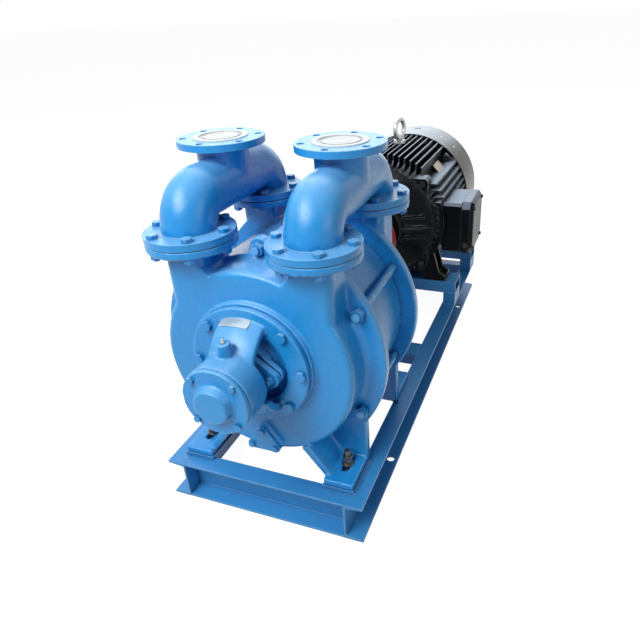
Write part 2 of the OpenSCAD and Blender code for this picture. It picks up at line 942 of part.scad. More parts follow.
module drain_covers() {
    color("dodgerblue") both_ends() difference() {
        translate([0, drain_up]) slab(disc_face + drain_pad, disc_face + drain_pad + drain_t) drain_shape();
        drain_bolt_places() rod(drain_bolt_d / 2 + play, disc_face, disc_face + drain_pad + drain_t + cut);
    }
}

// Rotor
module blade() {
    intersection() {
        translate([blade_r / 2 + 30, -blade_curve * 0.8]) difference() {
            circle(blade_curve);
            circle(blade_curve - blade_t);
        }
        difference() {
            circle(blade_r);
            circle(hub_r - 2 * cut);
        }
        translate([0, -blade_curve * 0.8]) square([2 * blade_r, 3 * blade_curve]);
    }
}

module impeller() {
    color("darkgoldenrod") front_end() slab(-impeller_half, impeller_half) difference() {
        union() {
            circle(hub_r);
            around(blade_n, 0) blade();
        }
        circle(shaft_hub_r + seat);
        translate([0, shaft_hub_r]) square([key_w + 2 * seat, 2 * key_sink + 2 * seat], center = true);
    }
}

// Half profiles from the middle of the shaft outwards, front end then rear end
function shaft_half(end_r, end_s) = [[shaft_hub_r, impeller_half], [shaft_sleeve_r, impeller_half],
    [shaft_sleeve_r, housing_face - 4], [bearing_in + 2, housing_face - 4], [bearing_in + 2, bearing_s],
    [bearing_in, bearing_s], [bearing_in, bearing_s + bearing_w], [end_r, bearing_s + bearing_w],
    [end_r, end_s], [0, end_s]];

function turned_over(points) = [for (i = [len(points) - 1 : -1 : 0]) [points[i][0], -points[i][1]]];

module shaft_profile() {
    polygon(concat(turned_over(shaft_half(shaft_end_r, joint_s - 2)),
        shaft_half(shaft_end_r - 2, nose_end - 12)));
}

module pump_shaft() {
    color("silver") front_end() difference() {
        rotate_extrude() shaft_profile();
        translate([-key_w / 2 - seat, shaft_hub_r - key_sink - seat, -impeller_half / 2 - clear])
            cube([key_w + 2 * seat, 2 * key_sink, impeller_half + 2 * clear]);
        translate([-key_w / 2 - seat, shaft_end_r - key_sink - seat, -joint_s])
            cube([key_w + 2 * seat, 2 * key_sink, coupling_l]);
    }
}

module pump_keys() {
    color("gray") front_end() {
        translate([-key_w / 2, shaft_hub_r - key_sink, -impeller_half / 2])
            cube([key_w, key_h, impeller_half]);
        translate([-key_w / 2, shaft_end_r - key_sink, -joint_s + 8])
            cube([key_w, key_h, coupling_l - 8 - clear]);
    }
}

module shaft_sleeves() {
    color("silver") both_ends() tube(sleeve_r, shaft_sleeve_r + seat, impeller_half, housing_face - 8);
}

// Manifolds: two elbows into a run, with a stub up to the top flange
module pipe_run(r, stub_r, bottom, top) {
    run = port_s - bend_r;
    low = gasket_t + flange_t + pipe_neck;
    for (end = [0, 1]) mirror([0, end, 0]) {
        translate([0, -port_s, 0]) rod(r, bottom, low);
        translate([0, -run, low]) rotate([90, 0, 90]) rotate(90)
            rotate_extrude(angle = 90) translate([bend_r, 0]) circle(r);
    }
    translate([0, run, low + bend_r]) rotate([90, 0, 0]) cylinder(r = r, h = 2 * run);
    rod(stub_r, low + bend_r, top);
}

module manifold() {
    difference() {
        union() {
            pipe_run(pipe_r, stub_out, gasket_t, stack_h);
            for (end = [-1, 1]) translate([0, end * port_s, gasket_t]) cylinder(r = flange_r, h = flange_t);
            translate([0, 0, stack_h - flange_t]) cylinder(r = flange_r, h = flange_t);
        }
        pipe_run(pipe_r - pipe_wall, stub_out - pipe_wall, 0, stack_h + cut);
        for (end = [-1, 1]) translate([0, end * port_s, gasket_t])
            around(flange_n, flange_pcr) rod(flange_bolt_d / 2 + play, -cut, flange_t + cut);
        translate([0, 0, stack_h - flange_t]) around(flange_n, flange_pcr, 180 / flange_n)
            rod(flange_bolt_d / 2 + play, -cut, flange_t + cut);
    }
}

module at_manifold(side) {
    translate([side * port_x, pump_y, shaft_z + port_up]) children();
}

module at_columns() {
    for (side = [-1, 1], end = [-1, 1]) at_manifold(side) translate([0, end * port_s, 0]) children();
}

module suction_manifold() {
    color("dodgerblue") at_manifold(-1) manifold();
}

module discharge_manifold() {
    color("dodgerblue") at_manifold(1) manifold();
}

module manifold_gaskets() {
    color("black") at_columns() tube(flange_r - flange_bolt_d - 12, pipe_r - pipe_wall, 0, gasket_t);
}

module manifold_bolts() {
    color("steelblue") at_columns() around(flange_n, flange_pcr) {
        translate([0, 0, gasket_t + flange_t])
            hex_bolt(flange_bolt_d, gasket_t + 2 * flange_t + nut_h(flange_bolt_d) + 4);
        translate([0, 0, -flange_t - nut_h(flange_bolt_d)]) hex_nut(flange_bolt_d);
    }
}

module plug() {
    bore = stub_out - pipe_wall;
    translate([0, 0, stack_h]) rotate_extrude() difference() {
        union() {
            square([plug_r, plug_t]);
            translate([0, -plug_depth]) square([bore - clear, plug_depth + cut]);
        }
        translate([0, -plug_depth - cut]) square([bore - clear - 3, plug_depth]);
        translate([bore - 6, plug_t]) circle(1.2);
    }
}

module suction_plug() {
    color("white") at_manifold(-1) plug();
}

module discharge_plug() {
    color("white") at_manifold(1) plug();
}

// Stud through pad and slot, with washer and two nuts on the foot and one under the pad
module pump_foot_bolts() {
    nut = nut_h(foot_bolt_d);
    color("silver") both_ends() both_sides() translate([foot_x, foot_low, foot_bolt_s]) rotate([-90, 0, 0]) {
        rod(foot_bolt_d / 2, -pad_t - nut - 6, foot_t + 2 * nut + 18);
        translate([0, 0, -pad_t - nut]) hex_nut(foot_bolt_d);
        tube(slot_w * 0.85, foot_bolt_d / 2 + thread, foot_t, foot_t + 3);
        for (i = [0, 1]) translate([0, 0, foot_t + 3 + seat + i * (nut + seat)]) rotate(i * 20)
            hex_nut(foot_bolt_d);
    }
}

// Coupling
module coupling_half(bore, length, hole, keyw) {
    difference() {
        union() {
            rod(coupling_hub_r, 0, length);
            rod(coupling_r, length - coupling_t, length);
        }
        rod(bore + seat, -cut, length + cut);
        translate([-keyw / 2 - seat, 0, -cut])
            cube([keyw + 2 * seat, bore + key_sink + 2 * seat, length + 2 * cut]);
        around(pin_n, pin_pcr) rod(hole, length - coupling_t - cut, length + cut);
    }
}

module coupling_pump_half() {
    color("red") rear_end() translate([0, 0, pump_half_s])
        coupling_half(shaft_end_r, coupling_l, bush_r + clear, key_w);
}

module coupling_motor_half() {
    color("red") motor_place() mirror([0, 0, 1]) translate([0, 0, 4])
        coupling_half(motor_shaft_r, motor_e - 4, pin_d / 2 + seat, motor_key_w);
}

module coupling_pins() {
    joint = -motor_e - coupling_gap;
    back = -motor_e + coupling_t;
    color("silver") motor_place() around(pin_n, pin_pcr) {
        rod(pin_d / 2, joint - bush_l, back + nut_h(pin_d) + 4);
        translate([0, 0, joint - bush_l]) cylinder(r = bush_r - 3, h = 4);
        translate([0, 0, back]) hex_nut(pin_d);
    }
}

module coupling_bushes() {
    joint = -motor_e - coupling_gap;
    color("black") motor_place() around(pin_n, pin_pcr)
        tube(bush_r, pin_d / 2 + seat, joint - bush_l + 4, joint - 1);
}

// Motor
module fin_section() {
    intersection() {
        circle(fin_r);
        union() {
            circle(frame_r);
            for (i = [-6.5 : 6.5]) translate([i * fin_pitch - fin_t / 2, -fin_low])
                square([fin_t, fin_low + fin_r]);
            for (i = [-5 : 6]) translate([-fin_r, i * side_fin_pitch - fin_t / 2]) square([2 * fin_r, fin_t]);
        }
    }
}

module fin_envelope() {
    step = 24;
    rotate_extrude() polygon([[0, shield_l], [frame_r + 4, shield_l], [frame_r + step, shield_l + step],
        [fin_r, shield_l + step], [fin_r, frame_end - step], [frame_r + 4, frame_end], [0, frame_end]]);
}

module motor_foot_section() {
    x1 = motor_a / 2 + 42;
    polygon([[112, -165], [motor_a / 2 - 48, -motor_h], [x1, -motor_h], [x1, -motor_h + motor_foot_t],
        [x1 - 2 * motor_foot_wall, -motor_h + 34], [frame_r - 22, -90]]);
}

module motor_feet() {
    for (s = [motor_c, motor_c + motor_b]) both_sides() difference() {
        slab(s - motor_foot_l / 2, s + motor_foot_l / 2) motor_foot_section();
        translate([motor_a / 2 - 2 * motor_foot_wall, motor_foot_t - motor_h, s - motor_foot_l / 2])
            translate([0, 0, motor_foot_wall]) cube([frame_r, motor_h, motor_foot_l - 2 * motor_foot_wall]);
        translate([motor_a / 2, -motor_h, s]) rotate([-90, 0, 0])
            rod(motor_bolt_d / 2 + play, -cut, motor_foot_t + cut);
    }
}

// Square corners that stand out of the round frame and carry the shield bolts
module corner_lugs(s0, s1) {
    slab(s0, s1) intersection() {
        square(2 * lug_half, center = true);
        circle(lug_r + 1.5 * lug_bolt_d);
    }
}

module box_saddle() {
    slab(shield_l + saddle_lip, box_s + box_l - saddle_lip) intersection() {
        circle(saddle_r);
        translate([frame_bore - frame_wall, box_up - box_h / 2 - saddle_lip])
            square([fin_r, box_h + 2 * saddle_lip]);
    }
}

module motor_frame() {
    color("#222222") motor_place() difference() {
        union() {
            difference() {
                intersection() {
                    slab(shield_l, frame_end) fin_section();
                    fin_envelope();
                }
                translate([frame_bore, box_up - box_h / 2 - saddle_lip, shield_l + saddle_lip + cut])
                    cube([fin_r, box_h + 2 * saddle_lip, box_s + box_l - shield_l - 2 * (saddle_lip + cut)]);
            }
            motor_feet();
            corner_lugs(shield_l, shield_l + lug_l);
            corner_lugs(frame_end - lug_l, frame_end);
            box_saddle();
            translate([0, 0, eye_s]) rotate([-90, 0, 0]) rod(2 * eye_shank, frame_bore + 4, eye_seat);
        }
        rod(frame_bore, shield_l - cut, frame_end + cut);
        translate([box_in - 2, box_up - box_h / 2 - clear, box_s - clear])
            cube([fin_r, box_h + 2 * clear, box_l + 2 * clear]);
        translate([0, 0, eye_s]) rotate([-90, 0, 0]) rod(eye_shank + thread, eye_seat - 34, eye_seat + cut);
        around(4, lug_r, 45) {
            rod(lug_bolt_d / 2 + thread, shield_l - cut, shield_l + 30);
            rod(lug_bolt_d / 2 + thread, frame_end - 30, frame_end + cut);
        }
    }
}

// End shield: bearing hub, dished wall, rim on the frame and spigot in its bore
module shield_profile(hub_s, hub_l, depth) {
    difference() {
        polygon([[motor_bearing_in + 4, hub_s], [motor_bearing_out + 18, hub_s],
            [motor_bearing_out + 24, hub_s + 8], [motor_bearing_out + 28, hub_s + 30],
            [frame_bore - 26, depth - 40], [frame_r - 4, depth - 22], [frame_r, depth - shield_rim],
            [frame_r, depth], [frame_bore - seat, depth], [frame_bore - seat, depth + 8],
            [frame_bore - shield_wall, depth + 8], [frame_bore - 26 - shield_wall, depth - 40 + shield_wall],
            [motor_bearing_out + 16, hub_s + 30 + shield_wall], [motor_bearing_out + 16, hub_s + hub_l],
            [motor_bearing_in + 4, hub_s + hub_l]]);
        translate([0, hub_s + bearing_shoulder]) square([motor_bearing_out + seat, motor_bearing_w]);
        translate([0, hub_s + bearing_shoulder + motor_bearing_w - cut]) square([motor_bearing_out - 8, hub_l]);
    }
}

module shield_rib(hub_s, depth) {
    rotate([90, 0, 0]) translate([0, 0, -shield_rib_t / 2]) linear_extrude(shield_rib_t)
        polygon([[motor_bearing_out + 20, hub_s + 8], [frame_bore - 10, depth - 52],
            [frame_bore - 10, depth - 32], [motor_bearing_out + 20, hub_s + 34]]);
}

module shield(hub_s, hub_l, depth) {
    difference() {
        union() {
            rotate_extrude() shield_profile(hub_s, hub_l, depth);
            both_sides() for (i = [-1 : 1]) translate([0, i * shield_rib_pitch]) shield_rib(hub_s, depth);
            difference() {
                corner_lugs(depth - shield_rim, depth - seat);
                rod(frame_bore + 4, depth - shield_rim - cut, depth + cut);
            }
        }
        around(4, lug_r, 45) rod(lug_bolt_d / 2 + play, depth - shield_rim - cut, depth + cut);
    }
}

module motor_front_shield() {
    color("#1c1c1c") motor_place() shield(motor_bearing_s - bearing_shoulder, motor_bearing_w + 24, shield_l);
}

// Posts on the rim of the rear shield that carry the cowl
module cowl_posts() {
    intersection() {
        around(4, 0) translate([0, 0, frame_end + shield_rim / 2]) rotate([0, 90, 0])
            rod(shield_rim / 2 - cut, frame_r - shield_rim / 2, cowl_r);
        rod(cowl_r - cowl_wall, frame_end, frame_end + shield_rim);
    }
}

module motor_rear_shield() {
    color("#1c1c1c") motor_place() {
        translate([0, 0, frame_end + shield_l]) mirror([0, 0, 1])
            shield(shield_l - rear_shield_l, motor_bearing_w + 24, shield_l);
        cowl_posts();
    }
}

module shield_bolts() {
    color("silver") motor_place() {
        around(4, lug_r, 45) {
            translate([0, 0, shield_l - shield_rim]) mirror([0, 0, 1]) hex_bolt(lug_bolt_d, 3 * lug_bolt_d);
            translate([0, 0, frame_end + shield_rim]) hex_bolt(lug_bolt_d, 3 * lug_bolt_d);
        }
        both_sides() for (s = [motor_c, motor_c + motor_b])
            translate([motor_a / 2, -motor_h, s]) rotate([-90, 0, 0]) {
            translate([0, 0, motor_foot_t])
                hex_bolt(motor_bolt_d, motor_foot_t + bridge_web + nut_h(motor_bolt_d) + 6);
            translate([0, 0, -bridge_web - nut_h(motor_bolt_d)]) hex_nut(motor_bolt_d);
        }
    }
}

// Stator core with its winding heads
module stator() {
    color("peru") motor_place() {
        tube(frame_bore - seat, rotor_r + air_gap, core_s, core_s + core_l);
        tube(frame_bore - 6, rotor_r + 8, core_s - winding_l, core_s + cut);
        tube(frame_bore - 6, rotor_r + 8, core_s + core_l - cut, core_s + core_l + winding_l);
    }
}

module motor_rotor() {
    color("gray") motor_place() tube(rotor_r, rotor_bore + seat, core_s, core_s + core_l);
}

module motor_shaft() {
    bearing_end = motor_bearing_s + motor_bearing_w;
    rear_end_s = rear_bearing_s + motor_bearing_w;
    fan_end = fan_s + fan_l + 2;
    seal_r = motor_bearing_in - 1;
    step_r = rotor_bore - 1;
    color("silver") motor_place() difference() {
        rotate_extrude() polygon([[0, -motor_e], [motor_shaft_r, -motor_e], [motor_shaft_r, 0], [seal_r, 0],
            [seal_r, motor_bearing_s], [motor_bearing_in, motor_bearing_s], [motor_bearing_in, bearing_end],
            [step_r, bearing_end], [step_r, core_s], [rotor_bore, core_s], [rotor_bore, core_s + core_l],
            [step_r, core_s + core_l], [step_r, rear_bearing_s], [motor_bearing_in, rear_bearing_s],
            [motor_bearing_in, rear_end_s], [fan_bore, rear_end_s], [fan_bore, fan_end], [0, fan_end]]);
        translate([-motor_key_w / 2 - seat, motor_shaft_r - key_sink - seat, -motor_e - cut])
            cube([motor_key_w + 2 * seat, 2 * key_sink, motor_e - 4]);
    }
}

module motor_key() {
    color("gray") motor_place() translate([-motor_key_w / 2, motor_shaft_r - key_sink, -motor_e + 4])
        cube([motor_key_w, 2 * key_sink, motor_e - 12]);
}

module motor_fan() {
    blade_l = fan_r - fan_hub_r;
    color("dimgray") motor_place() {
        tube(fan_hub_r, fan_bore + seat, fan_s, fan_s + fan_l);
        tube(fan_r, fan_hub_r - cut, fan_s, fan_s + fan_disc_t);
        around(8, 0) translate([fan_hub_r - 2, -fan_disc_t / 2, fan_s + fan_disc_t - cut])
            cube([blade_l, fan_disc_t, fan_l - fan_disc_t]);
    }
}

// Cowl: thin tube over the fin ends, cut away over the feet, rounded back with a grille
module fan_cowl() {
    back = cowl_s + cowl_l;
    round = 40;
    ring_pitch = 24;
    bar = 5;
    color("#6b6158") motor_place() difference() {
        union() {
            rotate_extrude() {
                translate([cowl_r - cowl_wall, cowl_s]) square([cowl_wall, cowl_l - round]);
                translate([cowl_r - round, back - round]) intersection() {
                    difference() {
                        circle(round);
                        circle(round - cowl_wall);
                    }
                    square(round);
                }
                translate([cowl_r - round - 4 * bar, back - cowl_wall]) square([4 * bar, cowl_wall]);
            }
            slab(back - cowl_wall, back) {
                for (i = [2 : 7]) difference() {
                    circle(i * ring_pitch + bar);
                    circle(i * ring_pitch - bar);
                }
                circle(ring_pitch);
                for (i = [0 : 3]) rotate(45 * i) square([2 * (cowl_r - round - 2 * bar), 8], center = true);
            }
        }
        translate([-cowl_r, -2 * cowl_r, cowl_s - cut])
            cube([2 * cowl_r, 2 * cowl_r + cowl_cut_up, frame_end - cowl_s + cut - clear]);
    }
}

module cut_square(w, h, c) {
    x = w / 2;
    y = h / 2;
    polygon([[c - x, -y], [x - c, -y], [x, c - y], [x, y - c],
        [x - c, y], [c - x, y], [-x, y - c], [-x, c - y]]);
}

module box_place(x) {
    motor_place() translate([x, box_up, box_s + box_l / 2]) rotate([0, 90, 0]) children();
}

module terminal_box() {
    floor_x = box_in - 2;
    color("#1c1c1c") box_place(floor_x) difference() {
        linear_extrude(lid_in - floor_x) cut_square(box_l, box_h, box_corner);
        translate([0, 0, box_wall]) linear_extrude(lid_in)
            cut_square(box_l - 2 * box_wall, box_h - 2 * box_wall, box_corner);
    }
}

// Lid: shallow tray with cut corners and a bevelled face, wider than the box by a lip
module terminal_lid() {
    w = box_l + 2 * lid_lip;
    h = box_h + 2 * lid_lip;
    color("#1c1c1c") box_place(lid_in) difference() {
        union() {
            linear_extrude(lid_t - lid_bevel) cut_square(w, h, lid_corner);
            translate([0, 0, lid_t - lid_bevel]) linear_extrude(lid_bevel, scale = 1 - 2 * lid_bevel / w)
                cut_square(w, h, lid_corner);
        }
        translate([0, 0, -cut]) linear_extrude(lid_t - lid_bevel)
            cut_square(w - 2 * lid_wall, h - 2 * lid_wall, lid_corner);
    }
}

module lifting_eye() {
    ring_up = eye_seat + eye_collar + eye_r + eye_bar - 3;
    color("silver") motor_place() translate([0, 0, eye_s]) rotate([-90, 0, 0]) rotate(eye_turn) {
        rod(eye_shank, eye_seat - 30, eye_seat + cut);
        translate([0, 0, eye_seat]) cylinder(r = 2 * eye_shank - 1, h = eye_collar);
        translate([0, 0, ring_up]) rotate([90, 0, 90]) rotate_extrude() translate([eye_r, 0]) circle(eye_bar);
    }
}

side_rail_left();
side_rail_right();
front_cross_rail();
middle_cross_rail();
rear_cross_rail();
foot_pads();
motor_bridges();
bridge_posts();
front_cover();
rear_cover();
casing();
front_port_plate();
rear_port_plate();
tie_rods();
tie_rod_nuts();
front_bracket();
rear_bracket();
bracket_bolts();
bearing_outer_races();
pump_inner_races();
motor_inner_races();
bearing_balls();
front_bearing_cap();
rear_bearing_cap();
small_bolts();
packing_rings();
gland_studs();
front_gland();
rear_gland();
front_gland_nuts();
rear_gland_nuts();
drain_covers();
impeller();
pump_shaft();
shaft_sleeves();
pump_keys();
suction_manifold();
discharge_manifold();
manifold_gaskets();
manifold_bolts();
suction_plug();
discharge_plug();
pump_foot_bolts();
coupling_pump_half();
coupling_motor_half();
coupling_pins();
coupling_bushes();
motor_frame();
motor_front_shield();
motor_rear_shield();
shield_bolts();
stator();
motor_rotor();
motor_shaft();
motor_key();
motor_fan();
fan_cowl();
terminal_box();
terminal_lid();
lifting_eye();
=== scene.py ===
import json
import math

import bmesh
import bpy
from mathutils import Matrix, Quaternion, Vector


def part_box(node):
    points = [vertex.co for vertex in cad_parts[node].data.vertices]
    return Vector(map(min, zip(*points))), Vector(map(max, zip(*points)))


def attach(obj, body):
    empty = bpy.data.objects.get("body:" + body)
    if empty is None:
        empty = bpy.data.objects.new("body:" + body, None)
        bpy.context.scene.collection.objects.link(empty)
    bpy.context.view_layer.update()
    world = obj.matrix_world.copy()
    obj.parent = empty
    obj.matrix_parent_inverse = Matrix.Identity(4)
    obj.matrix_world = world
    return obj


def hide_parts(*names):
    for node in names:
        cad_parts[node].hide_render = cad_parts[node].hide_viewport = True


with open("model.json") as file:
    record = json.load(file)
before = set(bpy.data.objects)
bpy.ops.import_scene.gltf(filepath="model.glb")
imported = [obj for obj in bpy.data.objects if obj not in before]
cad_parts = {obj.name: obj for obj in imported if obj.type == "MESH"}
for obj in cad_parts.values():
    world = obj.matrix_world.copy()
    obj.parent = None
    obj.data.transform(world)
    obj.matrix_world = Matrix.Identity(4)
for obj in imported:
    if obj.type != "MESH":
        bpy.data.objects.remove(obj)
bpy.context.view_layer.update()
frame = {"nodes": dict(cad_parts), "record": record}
nodes = frame["nodes"]
record = frame["record"]
bodyOf = {name: body for body, names in record["behaviour"]["bodies"].items() for name in names}
scene = bpy.context.scene
mm = 0.001
print("frame loaded:", len(nodes), "nodes")

# places read from the frame
shaftLow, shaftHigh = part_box("pump_shaft")
shaftZ = (shaftLow.z + shaftHigh.z) / 2
impellerLow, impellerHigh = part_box("impeller")
pumpY = (impellerLow.y + impellerHigh.y) / 2


# camera at the photograph's angle
cameraSettings = {
    "place": (0.674, -1.7615, 1.240),
    "azimuth": 21.2,
    "elevation": 28.2,
    "roll": -2.6,
    "lens": 32.16,
    "shift": (-0.0617, -0.0205),
}


def makeCamera(settings):
    data = bpy.data.cameras.new("photoCamera")
    data.sensor_width = 36
    data.lens = settings["lens"]
    data.shift_x, data.shift_y = settings["shift"]
    data.clip_start, data.clip_end = 0.05, 120
    camera = bpy.data.objects.new("photoCamera", data)
    scene.collection.objects.link(camera)
    turn, rise = math.radians(settings["azimuth"]), math.radians(settings["elevation"])
    back = Vector((math.sin(turn) * math.cos(rise), -math.cos(turn) * math.cos(rise), math.sin(rise)))
    roll = Quaternion((0, 0, 1), math.radians(settings["roll"]))
    camera.rotation_mode = "QUATERNION"
    camera.rotation_quaternion = back.to_track_quat("Z", "Y") @ roll
    camera.location = settings["place"]
    scene.camera = camera


makeCamera(cameraSettings)
print("camera placed")


# node helpers
def addNode(tree, kind, inputs=None, **values):
    node = tree.nodes.new(kind)
    for key, value in values.items():
        setattr(node, key, value)
    for key, value in (inputs or {}).items():
        node.inputs[key].default_value = value
    return node


def feed(tree, socket, value):
    if isinstance(value, bpy.types.NodeSocket):
        tree.links.new(value, socket)
    else:
        socket.default_value = value


def mathNode(tree, operation, first, second, clamp=False):
    node = addNode(tree, "ShaderNodeMath", operation=operation, use_clamp=clamp)
    for socket, value in zip(node.inputs, (first, second)):
        feed(tree, socket, value)
    return node.outputs[0]


# value from low..high to newLow..newHigh
def rangeNode(tree, value, low, high, newLow, newHigh):
    node = addNode(tree, "ShaderNodeMapRange")
    for socket, number in zip(node.inputs, (value, low, high, newLow, newHigh)):
        feed(tree, socket, number)
    return node.outputs[0]


def noiseNode(tree, coordinates, scale, detail=3.0):
    node = addNode(tree, "ShaderNodeTexNoise", {"Detail": detail, "Roughness": 0.55})
    feed(tree, node.inputs["Scale"], scale)
    feed(tree, node.inputs["Vector"], coordinates)
    return node.outputs["Fac"]


def mixColour(tree, factor, first, second):
    node = addNode(tree, "ShaderNodeMix", data_type="RGBA")
    for index, value in ((0, factor), (6, first), (7, second)):  # factor, A and B of a colour mix
        feed(tree, node.inputs[index], value)
    return node.outputs[2]


def newGroup(name, inputs, outputs):
    group = bpy.data.node_groups.new(name, "ShaderNodeTree")
    for label, kind, value in inputs:
        socket = group.interface.new_socket(name=label, in_out="INPUT", socket_type=kind)
        socket.default_value = value
    for label, kind in outputs:
        group.interface.new_socket(name=label, in_out="OUTPUT", socket_type=kind)
    return group, group.nodes.new("NodeGroupInput"), group.nodes.new("NodeGroupOutput")


number, colour = "NodeSocketFloat", "NodeSocketColor"
white = (1, 1, 1, 1)


# paint that drifts a little in tone, with painted shade darkening its nooks and a painted highlight as a pale line on
# edges; it shows the skin under it
paintSettings = {
    "broadScale": 5.0, "broadShare": 1.3, "blotchScale": 38.0, "blotchShare": 0.7,
    "nookShadeReach": 0.016, "nookShadeRange": (0.25, 0.85), "edgeHighlightRange": (0.995, 0.86),
    "patchRange": (0.36, 0.62), "patchLeast": 0.35, "grainGloss": 0.4, "glossRange": (0.4, 1.0), "blotchHeight": 0.9,
}


def makePaintFilm(paint):
    group, enter, leave = newGroup(
        "paintFilm",
        [("Color", colour, white), ("Edge Highlight Color", colour, white), ("Drift", number, 0.1),
         ("Grain Scale", number, 420.0), ("Edge Radius", number, 0.003), ("Edge Highlight Amount", number, 0.5),
         ("Crevice Shade", number, 0.4), ("Gloss Low", number, 0.3), ("Gloss High", number, 0.45)],
        [("Color", colour), ("Roughness", number), ("Height", number)])
    tree, links = group, group.links
    place = addNode(tree, "ShaderNodeTexCoord").outputs["Object"]
    broad = noiseNode(tree, place, paint["broadScale"], 4.0)
    blotch = noiseNode(tree, place, paint["blotchScale"])
    grain = noiseNode(tree, place, enter.outputs["Grain Scale"], 4.0)
    swing = mathNode(tree, "ADD", mathNode(tree, "MULTIPLY", broad, paint["broadShare"]),
                     mathNode(tree, "MULTIPLY", blotch, paint["blotchShare"]))
    swing = mathNode(tree, "MULTIPLY", mathNode(tree, "SUBTRACT", swing, 1.0), enter.outputs["Drift"])
    tone = addNode(tree, "ShaderNodeHueSaturation")
    links.new(enter.outputs["Color"], tone.inputs["Color"])
    # painted shade: the colour darkens where ambient occlusion finds nooks, creases and joints
    nookShadeProbe = addNode(tree, "ShaderNodeAmbientOcclusion", {"Distance": paint["nookShadeReach"]}, samples=4)
    paintedNookShade = rangeNode(tree, nookShadeProbe.outputs["AO"], *paint["nookShadeRange"], enter.outputs["Crevice Shade"], 1.0)
    links.new(mathNode(tree, "MULTIPLY", mathNode(tree, "ADD", swing, 1.0), paintedNookShade), tone.inputs["Value"])
    # painted highlight: a pale line of colour along edges, where the bevel normal turns away from the true normal
    bevel = addNode(tree, "ShaderNodeBevel", samples=4)
    links.new(enter.outputs["Edge Radius"], bevel.inputs["Radius"])
    dot = addNode(tree, "ShaderNodeVectorMath", operation="DOT_PRODUCT")
    links.new(bevel.outputs["Normal"], dot.inputs[0])
    links.new(addNode(tree, "ShaderNodeNewGeometry").outputs["True Normal"], dot.inputs[1])
    edge = rangeNode(tree, dot.outputs["Value"], *paint["edgeHighlightRange"], 0.0, 1.0)
    patchy = rangeNode(tree, blotch, *paint["patchRange"], paint["patchLeast"], 1.0)
    edge = mathNode(tree, "MULTIPLY", edge, patchy)
    edge = mathNode(tree, "MULTIPLY", edge, enter.outputs["Edge Highlight Amount"], clamp=True)
    links.new(mixColour(tree, edge, tone.outputs["Color"], enter.outputs["Edge Highlight Color"]), leave.inputs["Color"])
    mottle = mathNode(tree, "ADD", blotch, mathNode(tree, "MULTIPLY", grain, paint["grainGloss"]))
    gloss = rangeNode(tree, mottle, *paint["glossRange"], enter.outputs["Gloss Low"], enter.outputs["Gloss High"])
    links.new(gloss, leave.inputs["Roughness"])
    swell = mathNode(tree, "MULTIPLY", blotch, paint["blotchHeight"])
    links.new(mathNode(tree, "ADD", grain, swell), leave.inputs["Height"])
    return group


# distance from the shaft's axis, and the coordinates about it
def aboutShaft(tree, coordinates):
    centred = addNode(tree, "ShaderNodeMapping", {"Location": (0, 0, -shaftZ)})
    tree.links.new(coordinates, centred.inputs["Vector"])
    parts = addNode(tree, "ShaderNodeSeparateXYZ")
    tree.links.new(centred.outputs["Vector"], parts.inputs[0])
    flat = addNode(tree, "ShaderNodeCombineXYZ")
    tree.links.new(parts.outputs["X"], flat.inputs["X"])
    tree.links.new(parts.outputs["Z"], flat.inputs["Y"])
    reach = addNode(tree, "ShaderNodeVectorMath", operation="LENGTH")
    tree.links.new(flat.outputs[0], reach.inputs[0])
    return reach.outputs["Value"], parts


# painted sheen: a pale reflection of the sky painted on what faces up, away from the shaft and above it
sheenSettings = {"reachFade": 0.014, "levelFade": 0.03, "patchScale": 16.0, "patchRange": (0.3, 0.7), "patchLeast": 0.78}


def makeTopSheen(film):
    group, enter, leave = newGroup(
        "topSheen",
        [("Color", colour, white), ("Sheen Color", colour, white), ("Sheen Amount", number, 0.8),
         ("Tilt Low", number, 0.6), ("Tilt High", number, 0.9), ("Reach", number, 0.2)],
        [("Color", colour)])
    tree, links = group, group.links
    coordinates = addNode(tree, "ShaderNodeTexCoord")
    facing = addNode(tree, "ShaderNodeSeparateXYZ")
    links.new(coordinates.outputs["Normal"], facing.inputs[0])
    reach, parts = aboutShaft(tree, coordinates.outputs["Object"])
    upward = rangeNode(tree, facing.outputs["Z"], enter.outputs["Tilt Low"], enter.outputs["Tilt High"], 0.0, 1.0)
    limit = mathNode(tree, "ADD", enter.outputs["Reach"], film["reachFade"])
    outward = rangeNode(tree, reach, enter.outputs["Reach"], limit, 0.0, 1.0)
    above = rangeNode(tree, parts.outputs["Z"], -film["levelFade"], film["levelFade"], 0.0, 1.0)
    cloud = noiseNode(tree, coordinates.outputs["Object"], film["patchScale"], 4.0)
    patchy = rangeNode(tree, cloud, *film["patchRange"], film["patchLeast"], 1.0)
    amount = mathNode(tree, "MULTIPLY", mathNode(tree, "MULTIPLY", upward, outward),
                      mathNode(tree, "MULTIPLY", above, patchy))
    amount = mathNode(tree, "MULTIPLY", amount, enter.outputs["Sheen Amount"], clamp=True)
    links.new(mixColour(tree, amount, enter.outputs["Color"], enter.outputs["Sheen Color"]), leave.inputs["Color"])
    return group


# fine marks left by turning about the shaft, with cloudy stains
turningSettings = {"cloudScale": 26.0, "markRange": (0.6, 1.4), "gloss": (0.2, 0.42)}


